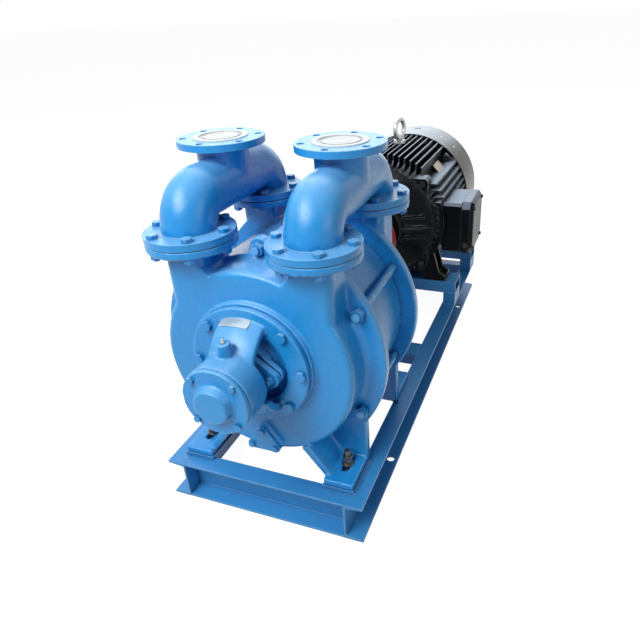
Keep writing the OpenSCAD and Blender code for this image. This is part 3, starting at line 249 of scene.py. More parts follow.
def makeTurnedMarks(turning):
    group, enter, leave = newGroup(
        "turnedMarks",
        [("Color", colour, white), ("Ring Scale", number, 900.0), ("Stain", number, 0.15)],
        [("Color", colour), ("Roughness", number), ("Height", number)])
    tree, links = group, group.links
    coordinates = addNode(tree, "ShaderNodeTexCoord").outputs["Object"]
    reach, parts = aboutShaft(tree, coordinates)
    lane = addNode(tree, "ShaderNodeCombineXYZ")
    links.new(reach, lane.inputs["X"])
    links.new(parts.outputs["Y"], lane.inputs["Y"])
    rings = noiseNode(tree, lane.outputs[0], enter.outputs["Ring Scale"], 2.0)
    cloud = noiseNode(tree, coordinates, turning["cloudScale"], 4.0)
    marks = mathNode(tree, "ADD", rings, cloud)
    tone = addNode(tree, "ShaderNodeHueSaturation")
    links.new(enter.outputs["Color"], tone.inputs["Color"])
    shade = mathNode(tree, "MULTIPLY", mathNode(tree, "SUBTRACT", marks, 1.0), enter.outputs["Stain"])
    links.new(mathNode(tree, "ADD", shade, 1.0), tone.inputs["Value"])
    links.new(tone.outputs["Color"], leave.inputs["Color"])
    links.new(rangeNode(tree, marks, *turning["markRange"], *turning["gloss"]), leave.inputs["Roughness"])
    links.new(rings, leave.inputs["Height"])
    return group


# spangled zinc, or any bright plated steel
platingSettings = {"cloudScale": 60.0, "cellShare": 0.5, "cloudShare": 0.8, "mixRange": (0.2, 0.9),
                   "gloss": (0.22, 0.46), "grainScale": 700.0}


def makePlatedSkin(plating):
    group, enter, leave = newGroup(
        "platedSkin",
        [("Color", colour, white), ("Dull Color", colour, white), ("Spangle Scale", number, 260.0)],
        [("Color", colour), ("Roughness", number), ("Height", number)])
    tree, links = group, group.links
    place = addNode(tree, "ShaderNodeTexCoord").outputs["Object"]
    cells = addNode(tree, "ShaderNodeTexVoronoi", {"Randomness": 1.0})
    links.new(place, cells.inputs["Vector"])
    links.new(enter.outputs["Spangle Scale"], cells.inputs["Scale"])
    cloud = noiseNode(tree, place, plating["cloudScale"], 4.0)
    mixed = mathNode(tree, "ADD", mathNode(tree, "MULTIPLY", cells.outputs["Distance"], plating["cellShare"]),
                     mathNode(tree, "MULTIPLY", cloud, plating["cloudShare"]), clamp=True)
    links.new(mixColour(tree, mixed, enter.outputs["Color"], enter.outputs["Dull Color"]), leave.inputs["Color"])
    links.new(rangeNode(tree, mixed, *plating["mixRange"], *plating["gloss"]), leave.inputs["Roughness"])
    links.new(noiseNode(tree, place, plating["grainScale"]), leave.inputs["Height"])
    return group


# even fine moulded or rubbed surface for rubber, plastic and packing
mouldingSettings = {"cloudScale": 30.0, "cloudRange": (0.3, 0.7)}


def makeMouldedSkin(moulding):
    group, enter, leave = newGroup(
        "mouldedSkin",
        [("Color", colour, white), ("Drift", number, 0.12), ("Grain Scale", number, 900.0),
         ("Gloss Low", number, 0.4), ("Gloss High", number, 0.6)],
        [("Color", colour), ("Roughness", number), ("Height", number)])
    tree, links = group, group.links
    place = addNode(tree, "ShaderNodeTexCoord").outputs["Object"]
    cloud = noiseNode(tree, place, moulding["cloudScale"], 4.0)
    grain = noiseNode(tree, place, enter.outputs["Grain Scale"])
    tone = addNode(tree, "ShaderNodeHueSaturation")
    links.new(enter.outputs["Color"], tone.inputs["Color"])
    shade = mathNode(tree, "MULTIPLY", mathNode(tree, "SUBTRACT", cloud, 0.5), enter.outputs["Drift"])
    links.new(mathNode(tree, "ADD", shade, 1.0), tone.inputs["Value"])
    links.new(tone.outputs["Color"], leave.inputs["Color"])
    gloss = rangeNode(tree, cloud, *moulding["cloudRange"], enter.outputs["Gloss Low"], enter.outputs["Gloss High"])
    links.new(gloss, leave.inputs["Roughness"])
    links.new(grain, leave.inputs["Height"])
    return group


groups = {
    "paintFilm": makePaintFilm(paintSettings),
    "topSheen": makeTopSheen(sheenSettings),
    "turnedMarks": makeTurnedMarks(turningSettings),
    "platedSkin": makePlatedSkin(platingSettings),
    "mouldedSkin": makeMouldedSkin(mouldingSettings),
}
print("node groups made:", len(groups))

# finishes: which group, its values, and what stays the same all over the surface (bump and round are in metres)
coatRoughness = 0.16
# in the paint finishes the edge colour is a painted highlight along edges
finishSettings = {
    "castBlue": {
        "group": "paintFilm", "bump": 0.00035, "round": 0.0015, "metallic": 0.0, "specular": 0.5, "tint": 0.85,
        "values": {"Color": (0.017, 0.290, 0.690, 1), "Edge Highlight Color": (0.26, 0.60, 0.92, 1), "Drift": 0.18,
                   "Grain Scale": 420.0, "Edge Radius": 0.0035, "Edge Highlight Amount": 0.7,
                   "Gloss Low": 0.18, "Gloss High": 0.32},
        # painted sheen on what faces up
        "film": {"Sheen Color": (0.34, 0.66, 0.95, 1), "Sheen Amount": 0.44, "Tilt Low": 0.4, "Tilt High": 1.0,
                 "Reach": 0.02},
    },
    "railBlue": {
        "group": "paintFilm", "bump": 0.00016, "round": 0.0012, "metallic": 0.0, "specular": 0.5, "tint": 0.85,
        "values": {"Color": (0.042, 0.255, 0.575, 1), "Edge Highlight Color": (0.30, 0.60, 0.88, 1), "Drift": 0.14,
                   "Grain Scale": 240.0, "Edge Radius": 0.003, "Edge Highlight Amount": 0.55,
                   "Gloss Low": 0.28, "Gloss High": 0.46},
    },
    "boltBlue": {
        "group": "paintFilm", "bump": 0.0001, "round": 0.0007, "metallic": 0.0, "specular": 0.5, "tint": 0.9,
        "values": {"Color": (0.018, 0.280, 0.665, 1), "Edge Highlight Color": (0.30, 0.62, 0.90, 1), "Drift": 0.12,
                   "Grain Scale": 600.0, "Edge Radius": 0.0016, "Edge Highlight Amount": 0.65,
                   "Gloss Low": 0.22, "Gloss High": 0.36},
        # painted sheen on what faces up
        "film": {"Sheen Color": (0.34, 0.63, 0.90, 1), "Sheen Amount": 0.5, "Tilt Low": 0.4, "Tilt High": 1.0,
                 "Reach": 0.02},
    },
    # a paler copy of the pump's blue for the tie rods: painted highlight in their colour, with less painted shade in
    # nooks
    "rodBlue": {
        "group": "paintFilm", "bump": 0.0001, "round": 0.0007, "metallic": 0.0, "specular": 0.5, "tint": 0.9,
        "values": {"Color": (0.096, 0.400, 0.750, 1), "Edge Highlight Color": (0.45, 0.70, 0.92, 1), "Drift": 0.2,
                   "Grain Scale": 600.0, "Edge Radius": 0.0016, "Edge Highlight Amount": 0.65, "Crevice Shade": 0.7,
                   "Gloss Low": 0.2, "Gloss High": 0.34},
    },
    "motorBlack": {
        "group": "paintFilm", "bump": 0.00007, "round": 0.0009, "metallic": 0.0, "specular": 0.07,
        "values": {"Color": (0.0038, 0.0046, 0.0058, 1), "Edge Highlight Color": (0.20, 0.21, 0.22, 1), "Drift": 0.3,
                   "Grain Scale": 300.0, "Edge Radius": 0.0034, "Edge Highlight Amount": 0.7,
                   "Gloss Low": 0.24, "Gloss High": 0.38},
        # painted sheen on the fin tips and other tops of the motor
        "film": {"Sheen Color": (0.36, 0.44, 0.55, 1), "Sheen Amount": 0.92, "Tilt Low": 0.55, "Tilt High": 0.85,
                 "Reach": 0.214},
    },
    "cowlBronze": {
        "group": "paintFilm", "bump": 0.00002, "round": 0.0012, "metallic": 0.1, "specular": 0.16,
        "values": {"Color": (0.052, 0.045, 0.033, 1), "Edge Highlight Color": (0.42, 0.42, 0.39, 1), "Drift": 0.1,
                   "Grain Scale": 180.0, "Edge Radius": 0.003, "Edge Highlight Amount": 0.7,
                   "Gloss Low": 0.24, "Gloss High": 0.34},
        # painted sheen on the top of the cowl
        "film": {"Sheen Color": (0.54, 0.62, 0.70, 1), "Sheen Amount": 0.9, "Tilt Low": 0.62, "Tilt High": 1.0,
                 "Reach": 0.2},
    },
    "dullSteel": {
        "group": "platedSkin", "bump": 0.00004, "round": 0.0007, "metallic": 0.7, "specular": 0.3,
        "values": {"Color": (0.060, 0.062, 0.066, 1), "Dull Color": (0.026, 0.027, 0.029, 1),
                   "Spangle Scale": 260.0},
    },
    "plugGrey": {
        "group": "mouldedSkin", "bump": 0.00003, "round": 0.0006, "metallic": 0.0, "specular": 0.4,
        "values": {"Color": (0.26, 0.31, 0.38, 1), "Drift": 0.2, "Grain Scale": 700.0,
                   "Gloss Low": 0.36, "Gloss High": 0.5},
    },
    "couplingRed": {
        "group": "paintFilm", "bump": 0.0002, "round": 0.0012, "metallic": 0.0, "specular": 0.5, "coat": 0.2,
        "values": {"Color": (0.42, 0.016, 0.014, 1), "Edge Highlight Color": (0.62, 0.12, 0.10, 1), "Drift": 0.14,
                   "Grain Scale": 420.0, "Edge Radius": 0.003, "Edge Highlight Amount": 0.45,
                   "Gloss Low": 0.3, "Gloss High": 0.44},
    },
    "zincBright": {
        "group": "platedSkin", "bump": 0.00004, "round": 0.0007, "metallic": 0.9, "specular": 0.5,
        "values": {"Color": (0.64, 0.65, 0.65, 1), "Dull Color": (0.42, 0.43, 0.42, 1), "Spangle Scale": 260.0},
    },
    "studSteel": {
        "group": "platedSkin", "bump": 0.00004, "round": 0.0007, "metallic": 0.9, "specular": 0.4,
        "values": {"Color": (0.26, 0.25, 0.235, 1), "Dull Color": (0.12, 0.116, 0.108, 1), "Spangle Scale": 260.0},
    },
    "turnedSteel": {
        "group": "turnedMarks", "bump": 0.00003, "round": 0.0005, "metallic": 1.0, "specular": 0.5,
        "values": {"Color": (0.60, 0.60, 0.59, 1), "Ring Scale": 900.0, "Stain": 0.2},
    },
    "raceSteel": {
        "group": "turnedMarks", "bump": 0.00001, "round": 0.0005, "metallic": 1.0, "specular": 0.5,
        "values": {"Color": (0.70, 0.70, 0.69, 1), "Ring Scale": 1600.0, "Stain": 0.1},
    },
    "greyIron": {
        "group": "platedSkin", "bump": 0.00022, "round": 0.0008, "metallic": 0.7, "specular": 0.4,
        "values": {"Color": (0.17, 0.17, 0.165, 1), "Dull Color": (0.10, 0.098, 0.092, 1), "Spangle Scale": 420.0},
    },
    "coreSteel": {
        "group": "turnedMarks", "bump": 0.00006, "round": 0.0005, "metallic": 0.8, "specular": 0.4,
        "values": {"Color": (0.26, 0.25, 0.24, 1), "Ring Scale": 1300.0, "Stain": 0.35},
    },
    "blackRubber": {
        "group": "mouldedSkin", "bump": 0.00008, "round": 0.0006, "metallic": 0.0, "specular": 0.3,
        "values": {"Color": (0.014, 0.014, 0.015, 1), "Drift": 0.3, "Grain Scale": 900.0,
                   "Gloss Low": 0.55, "Gloss High": 0.75},
    },
    "plugWhite": {
        "group": "mouldedSkin", "bump": 0.00005, "round": 0.001, "metallic": 0.0, "specular": 0.45,
        "values": {"Color": (0.60, 0.62, 0.61, 1), "Drift": 0.1, "Grain Scale": 700.0,
                   "Gloss Low": 0.34, "Gloss High": 0.5},
    },
    "fanPlastic": {
        "group": "mouldedSkin", "bump": 0.00006, "round": 0.001, "metallic": 0.0, "specular": 0.4,
        "values": {"Color": (0.022, 0.022, 0.024, 1), "Drift": 0.2, "Grain Scale": 800.0,
                   "Gloss Low": 0.38, "Gloss High": 0.55},
    },
    "plateBright": {
        "group": "platedSkin", "bump": 0.00003, "round": 0.0004, "metallic": 0.55, "specular": 0.5,
        "values": {"Color": (0.62, 0.70, 0.74, 1), "Dull Color": (0.44, 0.55, 0.62, 1), "Spangle Scale": 120.0},
    },
    "plateCream": {
        "group": "mouldedSkin", "bump": 0.00004, "round": 0.0004, "metallic": 0.0, "specular": 0.5, "coat": 0.2,
        "values": {"Color": (0.68, 0.62, 0.50, 1), "Drift": 0.14, "Grain Scale": 500.0,
                   "Gloss Low": 0.28, "Gloss High": 0.42},
    },
}


def makeFinish(name, settings):
    material = bpy.data.materials.new(name)
    material.use_nodes = True
    tree = material.node_tree
    shader = tree.nodes["Principled BSDF"]
    skin = addNode(tree, "ShaderNodeGroup", node_tree=groups[settings["group"]])
    for key, value in settings["values"].items():
        skin.inputs[key].default_value = value
    shader.inputs["Metallic"].default_value = settings["metallic"]
    shader.inputs["Specular IOR Level"].default_value = settings["specular"]
    shade = settings.get("tint", 1.0)
    shader.inputs["Specular Tint"].default_value = (shade, shade, shade, 1)
    shader.inputs["Coat Weight"].default_value = settings.get("coat", 0.0)
    shader.inputs["Coat Roughness"].default_value = coatRoughness
    rounded = addNode(tree, "ShaderNodeBevel", {"Radius": settings["round"]}, samples=4)
    bump = addNode(tree, "ShaderNodeBump", {"Strength": 1.0, "Distance": settings["bump"]})
    tree.links.new(rounded.outputs["Normal"], bump.inputs["Normal"])
    top = skin
    # painted sheen: the top group paints a pale sky reflection over the colour of what faces up
    if "film" in settings:
        top = addNode(tree, "ShaderNodeGroup", settings["film"], node_tree=groups["topSheen"])
        tree.links.new(skin.outputs["Color"], top.inputs["Color"])
    tree.links.new(top.outputs["Color"], shader.inputs["Base Color"])
    tree.links.new(skin.outputs["Roughness"], shader.inputs["Roughness"])
    tree.links.new(skin.outputs["Height"], bump.inputs["Height"])
    tree.links.new(bump.outputs["Normal"], shader.inputs["Normal"])
    material.diffuse_color = settings["values"]["Color"]
    return material


finishes = {name: makeFinish(name, settings) for name, settings in finishSettings.items()}
print("finishes made:", len(finishes))


# mesh helpers: lengths in millimetres, angles in degrees
meshSettings = {"merge": 0.02, "flatAngle": 0.4, "bevelAngle": 34}


def camelName(node):
    first, *rest = node.split("_")
    return first + "".join(word.title() for word in rest)


def nodeCopy(node):
    bm = bmesh.new()
    bm.from_mesh(nodes[node].data)
    bmesh.ops.remove_doubles(bm, verts=bm.verts, dist=meshSettings["merge"] * mm)
    return bm


def placePiece(name, bm, finish, body, smooth=34, node=None):
    mesh = bpy.data.meshes.new(name)
    bm.to_mesh(mesh)
    bm.free()
    mesh.shade_smooth()
    mesh.set_sharp_from_angle(angle=math.radians(smooth))
    mesh.materials.clear()
    mesh.materials.append(finishes[finish])
    piece = bpy.data.objects.new(name, mesh)
    scene.collection.objects.link(piece)
    if node:
        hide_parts(node)
    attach(piece, body)
    return piece


def softenEdges(piece, width, segments):
    modifier = piece.modifiers.new("edges", "BEVEL")
    modifier.width = width * mm
    modifier.segments = segments
    modifier.limit_method = "ANGLE"
    modifier.angle_limit = math.radians(meshSettings["bevelAngle"])
    modifier.miter_outer = "MITER_ARC"
    modifier.harden_normals = True
    modifier.use_clamp_overlap = True


def dressNode(node, settings):
    bm = nodeCopy(node)
    bmesh.ops.dissolve_limit(bm, angle_limit=math.radians(meshSettings["flatAngle"]), verts=bm.verts, edges=bm.edges)
    piece = placePiece(camelName(node), bm, settings["finish"], bodyOf[node], smooth=26, node=node)
    if "edge" in settings:
        softenEdges(piece, settings["edge"], settings.get("segments", 2))


def dressAll(settings):
    for node in settings["nodes"]:
        dressNode(node, settings)


# a casting: the solid is remeshed finely, so that its edges and corners run into each other
def castNode(node, settings):
    bm = nodeCopy(node)
    mesh = bpy.data.meshes.new("castStock")
    bm.to_mesh(mesh)
    bm.free()
    stock = bpy.data.objects.new("castStock", mesh)
    scene.collection.objects.link(stock)
    remesh = stock.modifiers.new("skin", "REMESH")
    remesh.mode = "VOXEL"
    remesh.voxel_size = settings["voxel"] * mm
    remesh.use_smooth_shade = True
    relax = stock.modifiers.new("relax", "CORRECTIVE_SMOOTH")
    relax.iterations = settings["relax"]
    relax.smooth_type = "LENGTH_WEIGHTED"
    relax.use_only_smooth = True
    if settings["keep"] < 1:
        thin = stock.modifiers.new("thin", "DECIMATE")
        thin.ratio = settings["keep"]
    skin = bpy.data.meshes.new_from_object(stock.evaluated_get(bpy.context.evaluated_depsgraph_get()))
    bpy.data.objects.remove(stock)
    bm = bmesh.new()
    bm.from_mesh(skin)
    bpy.data.meshes.remove(skin)
    piece = placePiece(camelName(node), bm, settings["finish"], bodyOf[node], smooth=60, node=node)
    print("cast", node, len(piece.data.polygons))


pumpCovers = {"nodes": ["front_cover", "rear_cover"], "finish": "castBlue", "voxel": 3.0, "relax": 3, "keep": 0.5}
for node in pumpCovers["nodes"]:
    castNode(node, pumpCovers)

pumpCastings = {
    "nodes": ["front_bracket", "rear_bracket", "front_bearing_cap", "rear_bearing_cap"],
    "finish": "castBlue", "voxel": 3.0, "relax": 3, "keep": 1.0,
}
for node in pumpCastings["nodes"]:
    castNode(node, pumpCastings)

pumpPipework = {
    "nodes": ["suction_manifold", "discharge_manifold", "casing", "drain_covers", "front_gland", "rear_gland"],
    "finish": "castBlue", "edge": 1.6,
}
dressAll(pumpPipework)

baseSteelwork = {
    "nodes": ["side_rail_left", "side_rail_right", "front_cross_rail", "middle_cross_rail", "rear_cross_rail",
              "foot_pads", "motor_bridges", "bridge_posts"],
    "finish": "railBlue", "edge": 1.4,
}
dressAll(baseSteelwork)

paintedFasteners = {
    "nodes": ["tie_rod_nuts", "bracket_bolts", "small_bolts", "gland_studs", "front_gland_nuts",
              "rear_gland_nuts", "manifold_bolts"],
    "finish": "boltBlue", "edge": 0.7, "segments": 1,
}
dressAll(paintedFasteners)

# the tie rods take the paler blue, a painted highlight
tieRods = {"nodes": ["tie_rods"], "finish": "rodBlue", "edge": 0.7, "segments": 1}
dressAll(tieRods)

liftingRing = {"nodes": ["lifting_eye"], "finish": "zincBright", "edge": 0.7, "segments": 1}
dressAll(liftingRing)

footStuds = {"nodes": ["pump_foot_bolts"], "finish": "studSteel", "edge": 0.7, "segments": 1}
dressAll(footStuds)

motorFasteners = {"nodes": ["shield_bolts"], "finish": "dullSteel", "edge": 0.7, "segments": 1}
dressAll(motorFasteners)

motorBody = {
    "nodes": ["motor_frame", "motor_front_shield", "motor_rear_shield"],
    "finish": "motorBlack", "edge": 0.9, "segments": 1,
}
dressAll(motorBody)

terminalHousing = {"nodes": ["terminal_box", "terminal_lid"], "finish": "motorBlack", "edge": 3.5, "segments": 3}
dressAll(terminalHousing)

fanCover = {"nodes": ["fan_cowl"], "finish": "cowlBronze", "edge": 1.0}
dressAll(fanCover)

couplingHalves = {"nodes": ["coupling_pump_half", "coupling_motor_half"], "finish": "couplingRed", "edge": 1.2}
dressAll(couplingHalves)

print("castings, steelwork and motor dressed")

# running parts and inner parts keep their own shape and get a finish
innerFinish = {
    "front_port_plate": "castBlue", "rear_port_plate": "castBlue", "impeller": "greyIron",
    "bearing_outer_races": "raceSteel", "pump_inner_races": "raceSteel", "motor_inner_races": "raceSteel",
    "bearing_balls": "raceSteel", "pump_shaft": "turnedSteel", "shaft_sleeves": "turnedSteel",
    "pump_keys": "turnedSteel", "motor_shaft": "turnedSteel", "motor_key": "turnedSteel",
    "coupling_pins": "turnedSteel", "manifold_gaskets": "blackRubber", "coupling_bushes": "blackRubber",
    "packing_rings": "blackRubber", "stator": "coreSteel", "motor_rotor": "coreSteel", "motor_fan": "fanPlastic",
}
for node, finish in innerFinish.items():
    dressNode(node, {"finish": finish})
print("running parts finished")


# small added pieces
def turnProfile(points, steps=24):
    bm = bmesh.new()
    verts = [bm.verts.new((radius * mm, 0, height * mm)) for radius, height in points]
    edges = [bm.edges.new(pair) for pair in zip(verts, verts[1:])]
    bmesh.ops.spin(bm, geom=verts + edges, cent=(0, 0, 0), axis=(0, 0, 1), dvec=(0, 0, 0),
                   angle=math.tau, steps=steps, use_merge=True)
    bmesh.ops.remove_doubles(bm, verts=bm.verts, dist=1e-6)
    bmesh.ops.recalc_face_normals(bm, faces=bm.faces)
    return bm


def hexPrism(flats, height, bevel):
    bm = bmesh.new()
    bmesh.ops.create_cone(bm, cap_ends=True, segments=6, radius1=flats / math.sqrt(3) * mm,
                          radius2=flats / math.sqrt(3) * mm, depth=height * mm)
    bmesh.ops.translate(bm, verts=bm.verts, vec=(0, 0, height / 2 * mm))
    rim = [edge for edge in bm.edges if all(abs(vert.co.z - height * mm) < 1e-7 for vert in edge.verts)]
    bmesh.ops.bevel(bm, geom=rim, offset=bevel * mm, segments=2, profile=0.5, affect="EDGES", material=-1)
    return bm


def joinInto(target, source, place):
    mesh = bpy.data.meshes.new("joining")
    source.to_mesh(mesh)
    source.free()
    mesh.transform(place)
    target.from_mesh(mesh)
    bpy.data.meshes.remove(mesh)


def standOn(point, direction, spin=0):
    up = Vector(direction).normalized()
    return (Matrix.Translation(Vector(point) * mm) @ up.to_track_quat("Z", "Y").to_matrix().to_4x4()
            @ Matrix.Rotation(math.radians(spin), 4, "Z"))


def makeBlock(size, bevel, segments=2):
    bm = bmesh.new()
    bmesh.ops.create_cube(bm, size=1)
    bmesh.ops.scale(bm, vec=Vector(size) * mm, verts=bm.verts)
    bmesh.ops.bevel(bm, geom=bm.edges[:], offset=bevel * mm, segments=segments, profile=0.5, affect="EDGES",
                    material=-1)
    return bm


# push-in plugs of the top flanges: rim on the flange, skirt in the bore, rings pressed into the face
portPlugs = {
    "nodes": ["suction_plug", "discharge_plug"], "finish": "plugWhite", "ringFinish": "plugGrey",
    "depth": 14, "steps": 72,
    "profile": [(0, 0.3), (21, 0.3), (22, 1.1), (24.5, 1.1), (25.5, 0.3), (43, 0.3), (44, 1.6), (47, 1.6), (48, 0.5),
                (53.5, 0.5), (55.2, 2.5), (67.6, 2.5), (69, 1.2), (69, 0.05), (58.6, 0.05), (58.6, -14), (55.6, -14),
                (55.6, -1), (0, -1)],
    "rings": [[(46.4, -0.4), (46.4, 2.1), (48.6, 2.1), (48.6, -0.4), (46.4, -0.4)],
              [(52.6, -0.4), (52.6, 1.4), (54.0, 1.4), (54.0, -0.4), (52.6, -0.4)]],
}


def makePlug(node, settings):
    low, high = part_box(node)
    seat = Vector(((low.x + high.x) / 2, (low.y + high.y) / 2, low.z)) / mm + Vector((0, 0, settings["depth"]))
    bm = bmesh.new()
    joinInto(bm, turnProfile(settings["profile"], settings["steps"]), standOn(seat, (0, 0, 1)))
    placePiece(camelName(node), bm, settings["finish"], bodyOf[node], smooth=24, node=node)
    bm = bmesh.new()
    for ring in settings["rings"]:
        joinInto(bm, turnProfile(ring, settings["steps"]), standOn(seat, (0, 0, 1)))
    placePiece(camelName(node) + "Rings", bm, settings["ringFinish"], bodyOf[node], smooth=24)


for node in portPlugs["nodes"]:
    makePlug(node, portPlugs)

# weld beads of the base: round the pads, and along the feet and heads of the bridges' posts
weldBeads = {
    "radius": 3.4, "pitch": 6.0, "ripple": 0.14, "sides": 8, "tip": 0.6, "steps": 3,
    "padOut": 254, "padSpans": [(-780, -647), (-378, -245)], "padDrop": 1,
    "railIn": 237, "railTop": 120, "postIn": 242, "postOut": 288, "bridgeLow": 172,
    "bridgeSpans": [(307, 407), (656, 756)],
}


def layBead(bm, start, end, settings):
    start, end = Vector(start) * mm, Vector(end) * mm
    run = end - start
    radius = settings["radius"] * mm
    steps, tip = settings["steps"], settings["tip"]
    count = max(steps + 1, round(run.length / (settings["pitch"] * mm)) * steps)
    turn = run.to_track_quat("Z", "Y").to_matrix().to_4x4()
    ring = bmesh.ops.create_circle(bm, segments=settings["sides"], radius=radius * tip,
                                   matrix=Matrix.Translation(start) @ turn)["verts"]
    edges = list({edge for vert in ring for edge in vert.link_edges})
    closing = [edges]
    for index in range(1, count + 1):
        made = bmesh.ops.extrude_edge_only(bm, edges=edges)["geom"]
        ring = [item for item in made if isinstance(item, bmesh.types.BMVert)]
        edges = [item for item in made if isinstance(item, bmesh.types.BMEdge)
                 and all(vert in ring for vert in item.verts)]
        centre = start + run * (index / count)
        size = radius * (tip if index == count else 1 + settings["ripple"] * (0.5 - (index % steps) * 0.5))
        for vert in ring:
            away = vert.co - (start + run * ((index - 1) / count))
            vert.co = centre + away.normalized() * size
    closing.append(edges)
    for loop in closing:
        bmesh.ops.edgeloop_fill(bm, edges=loop)


def makeWelds(settings):
    bm = bmesh.new()
    top, low = settings["railTop"], settings["bridgeLow"]
    for side in (-1, 1):
        rows = [(side * settings["padOut"], top), (side * settings["railIn"], top - settings["padDrop"])]
        for front, back in settings["padSpans"]:
            for across, height in rows:
                layBead(bm, (across, front, height), (across, back, height), settings)
        inner, outer = side * settings["postIn"], side * settings["postOut"]
        for front, back in settings["bridgeSpans"]:
            layBead(bm, (inner, front, top), (inner, back, top), settings)
            for edge in (front, back):
                for height in (top, low):
                    layBead(bm, (inner, edge, height), (outer, edge, height), settings)
    bmesh.ops.recalc_face_normals(bm, faces=bm.faces)
    placePiece("weldBeads", bm, "railBlue", "set_base", smooth=50)


makeWelds(weldBeads)

# grease nipples on the bearing brackets
greaseNipples = {"reach": 353, "up": 118, "flats": 10, "height": 3.2, "bevel": 0.8,
                 "profile": [(0, 3.2), (3.4, 3.2), (3.4, 4.6), (2.6, 5.4), (2.6, 6.6), (3.6, 7.6), (3.7, 8.8),
                             (2.8, 10.0), (1.1, 10.5), (0, 10.5)]}


def makeNipples(settings):
    bm = bmesh.new()
    for side in (-1, 1):
        place = standOn((0, pumpY / mm + side * settings["reach"], shaftZ / mm + settings["up"]), (0, 0, 1))
        joinInto(bm, hexPrism(settings["flats"], settings["height"], settings["bevel"]), place)
        joinInto(bm, turnProfile(settings["profile"]), place)
    placePiece("greaseNipples", bm, "zincBright", "set_base")


makeNipples(greaseNipples)

# bare plate, bent to the ball of the front bracket
bracketPlate = {"reach": 228.93, "radius": 140.4, "centre": -12, "width": 78, "lean": 20.2, "sweep": 15.0,
                "thick": 1.4, "grid": (18, 8), "rivetsAcross": 0.46, "rivetsAlong": 0.42,
                "rivet": [(0, 2.6), (1.6, 2.4), (2.6, 1.5), (2.8, 0.6), (2.8, -1), (0, -1)]}


def onBracket(settings, across, along):
    side = settings["centre"] + across * settings["width"]
    lean = math.radians(settings["lean"] - along * settings["sweep"])
    ring = math.sqrt(settings["radius"] ** 2 - side ** 2)
    heart = Vector((0, pumpY / mm - settings["reach"], shaftZ / mm))
    point = heart + Vector((side, -ring * math.sin(lean), ring * math.cos(lean)))
    return point, (point - heart).normalized()


def makeBracketPlate(settings):
    bm = bmesh.new()
    columns, rows = settings["grid"]
    bmesh.ops.create_grid(bm, x_segments=columns, y_segments=rows, size=0.5)
    for vert in bm.verts:
        vert.co = onBracket(settings, vert.co.x, vert.co.y)[0] * mm
    bmesh.ops.recalc_face_normals(bm, faces=bm.faces)
    if sum(face.normal.z for face in bm.faces) < 0:
        bmesh.ops.reverse_faces(bm, faces=bm.faces)
    raised = bmesh.ops.extrude_face_region(bm, geom=bm.faces[:])["geom"]
    for vert in [item for item in raised if isinstance(item, bmesh.types.BMVert)]:
        vert.co += vert.normal * settings["thick"] * mm
    bmesh.ops.recalc_face_normals(bm, faces=bm.faces)
    for across in (-settings["rivetsAcross"], settings["rivetsAcross"]):
        for along in (-settings["rivetsAlong"], settings["rivetsAlong"]):
            point, out = onBracket(settings, across, along)
            joinInto(bm, turnProfile(settings["rivet"], 12), standOn(point + out * settings["thick"], out))
    placePiece("bracketPlate", bm, "plateBright", "set_base")


makeBracketPlate(bracketPlate)

# bare cream plate on its pad, between the upright and the level fins of the motor
motorPlate = {"along": 518, "radius": 229, "turn": 45, "pad": (32, 78, 30), "padCorner": 3,
              "plate": (40, 88, 1.6), "plateCorner": 0.4}


# place on the motor's frame: distance along the shaft, radius and turn from upright
def onFrame(settings, up=0):
    axis = Matrix.Translation(Vector((0, settings["along"], shaftZ / mm)) * mm)
    turn = Matrix.Rotation(math.radians(settings["turn"]), 4, "Y")
    return axis @ turn @ Matrix.Translation((0, 0, (settings["radius"] + up) * mm))


def makeMotorPlate(settings):
    pad, plate = settings["pad"], settings["plate"]
    bm = bmesh.new()
    joinInto(bm, makeBlock(pad, settings["padCorner"]), onFrame(settings, -pad[2] / 2))
    placePiece("platePad", bm, "motorBlack", "set_base")
    bm = bmesh.new()
    joinInto(bm, makeBlock(plate, settings["plateCorner"]), onFrame(settings, plate[2] / 2))
    placePiece("motorPlate", bm, "plateCream", "set_base")


makeMotorPlate(motorPlate)

# lug with a hole, on the frame just before the fan cowl
frameLug = {"along": 655, "radius": 232, "turn": 45, "size": (34, 16, 30), "corner": 5, "eyeUp": 2,
            "eye": [(5, -1), (5, 2.4), (7, 3.4), (10.5, 3.4), (12, 2.2), (12, -1), (5, -1)]}


def makeFrameLug(settings):
    front = standOn((0, -settings["size"][1] / 2, settings["eyeUp"]), (0, -1, 0))
    bm = bmesh.new()
    joinInto(bm, makeBlock(settings["size"], settings["corner"], 3), onFrame(settings))
    joinInto(bm, turnProfile(settings["eye"], 28), onFrame(settings) @ front)
    placePiece("frameLug", bm, "motorBlack", "set_base")


makeFrameLug(frameLug)

# threads on the ends of the foot studs
studThreads = {"across": 210, "reach": 189, "low": 177, "high": 190.6, "pitch": 2,
               "core": 7.6, "crest": 8.55, "root": 8.05}


def makeStudThreads(settings):
    turns = round((settings["high"] - settings["low"]) / settings["pitch"])
    profile = [(settings["core"], settings["low"])]
    for index in range(turns):
        height = settings["low"] + index * settings["pitch"]
        profile += [(settings["root"], height), (settings["crest"], height + settings["pitch"] / 2)]
    top = settings["low"] + turns * settings["pitch"]
    profile += [(settings["root"], top), (settings["core"], top), profile[0]]
    bm = bmesh.new()
    for side in (-1, 1):
        for end in (-1, 1):
            foot = standOn((side * settings["across"], pumpY / mm + end * settings["reach"], 0), (0, 0, 1))
            joinInto(bm, turnProfile(profile, 28), foot)
    placePiece("studThreads", bm, "studSteel", "set_base", smooth=60)


makeStudThreads(studThreads)

# screws of the terminal lid and the earth point
lidScrews = {"corners": [(-1, -1), (-1, 1), (1, -1), (1, 1)], "inset": 27, "flats": 13, "height": 5, "sink": 2,
             "bevel": 1.0}
earthScrew = {"place": (318, 315, 382), "flats": 13, "height": 6, "bevel": 1.0, "spin": 14,
              "washer": [(0, 1.6), (10, 1.6), (11, 0.8), (11, -1), (0, -1)]}


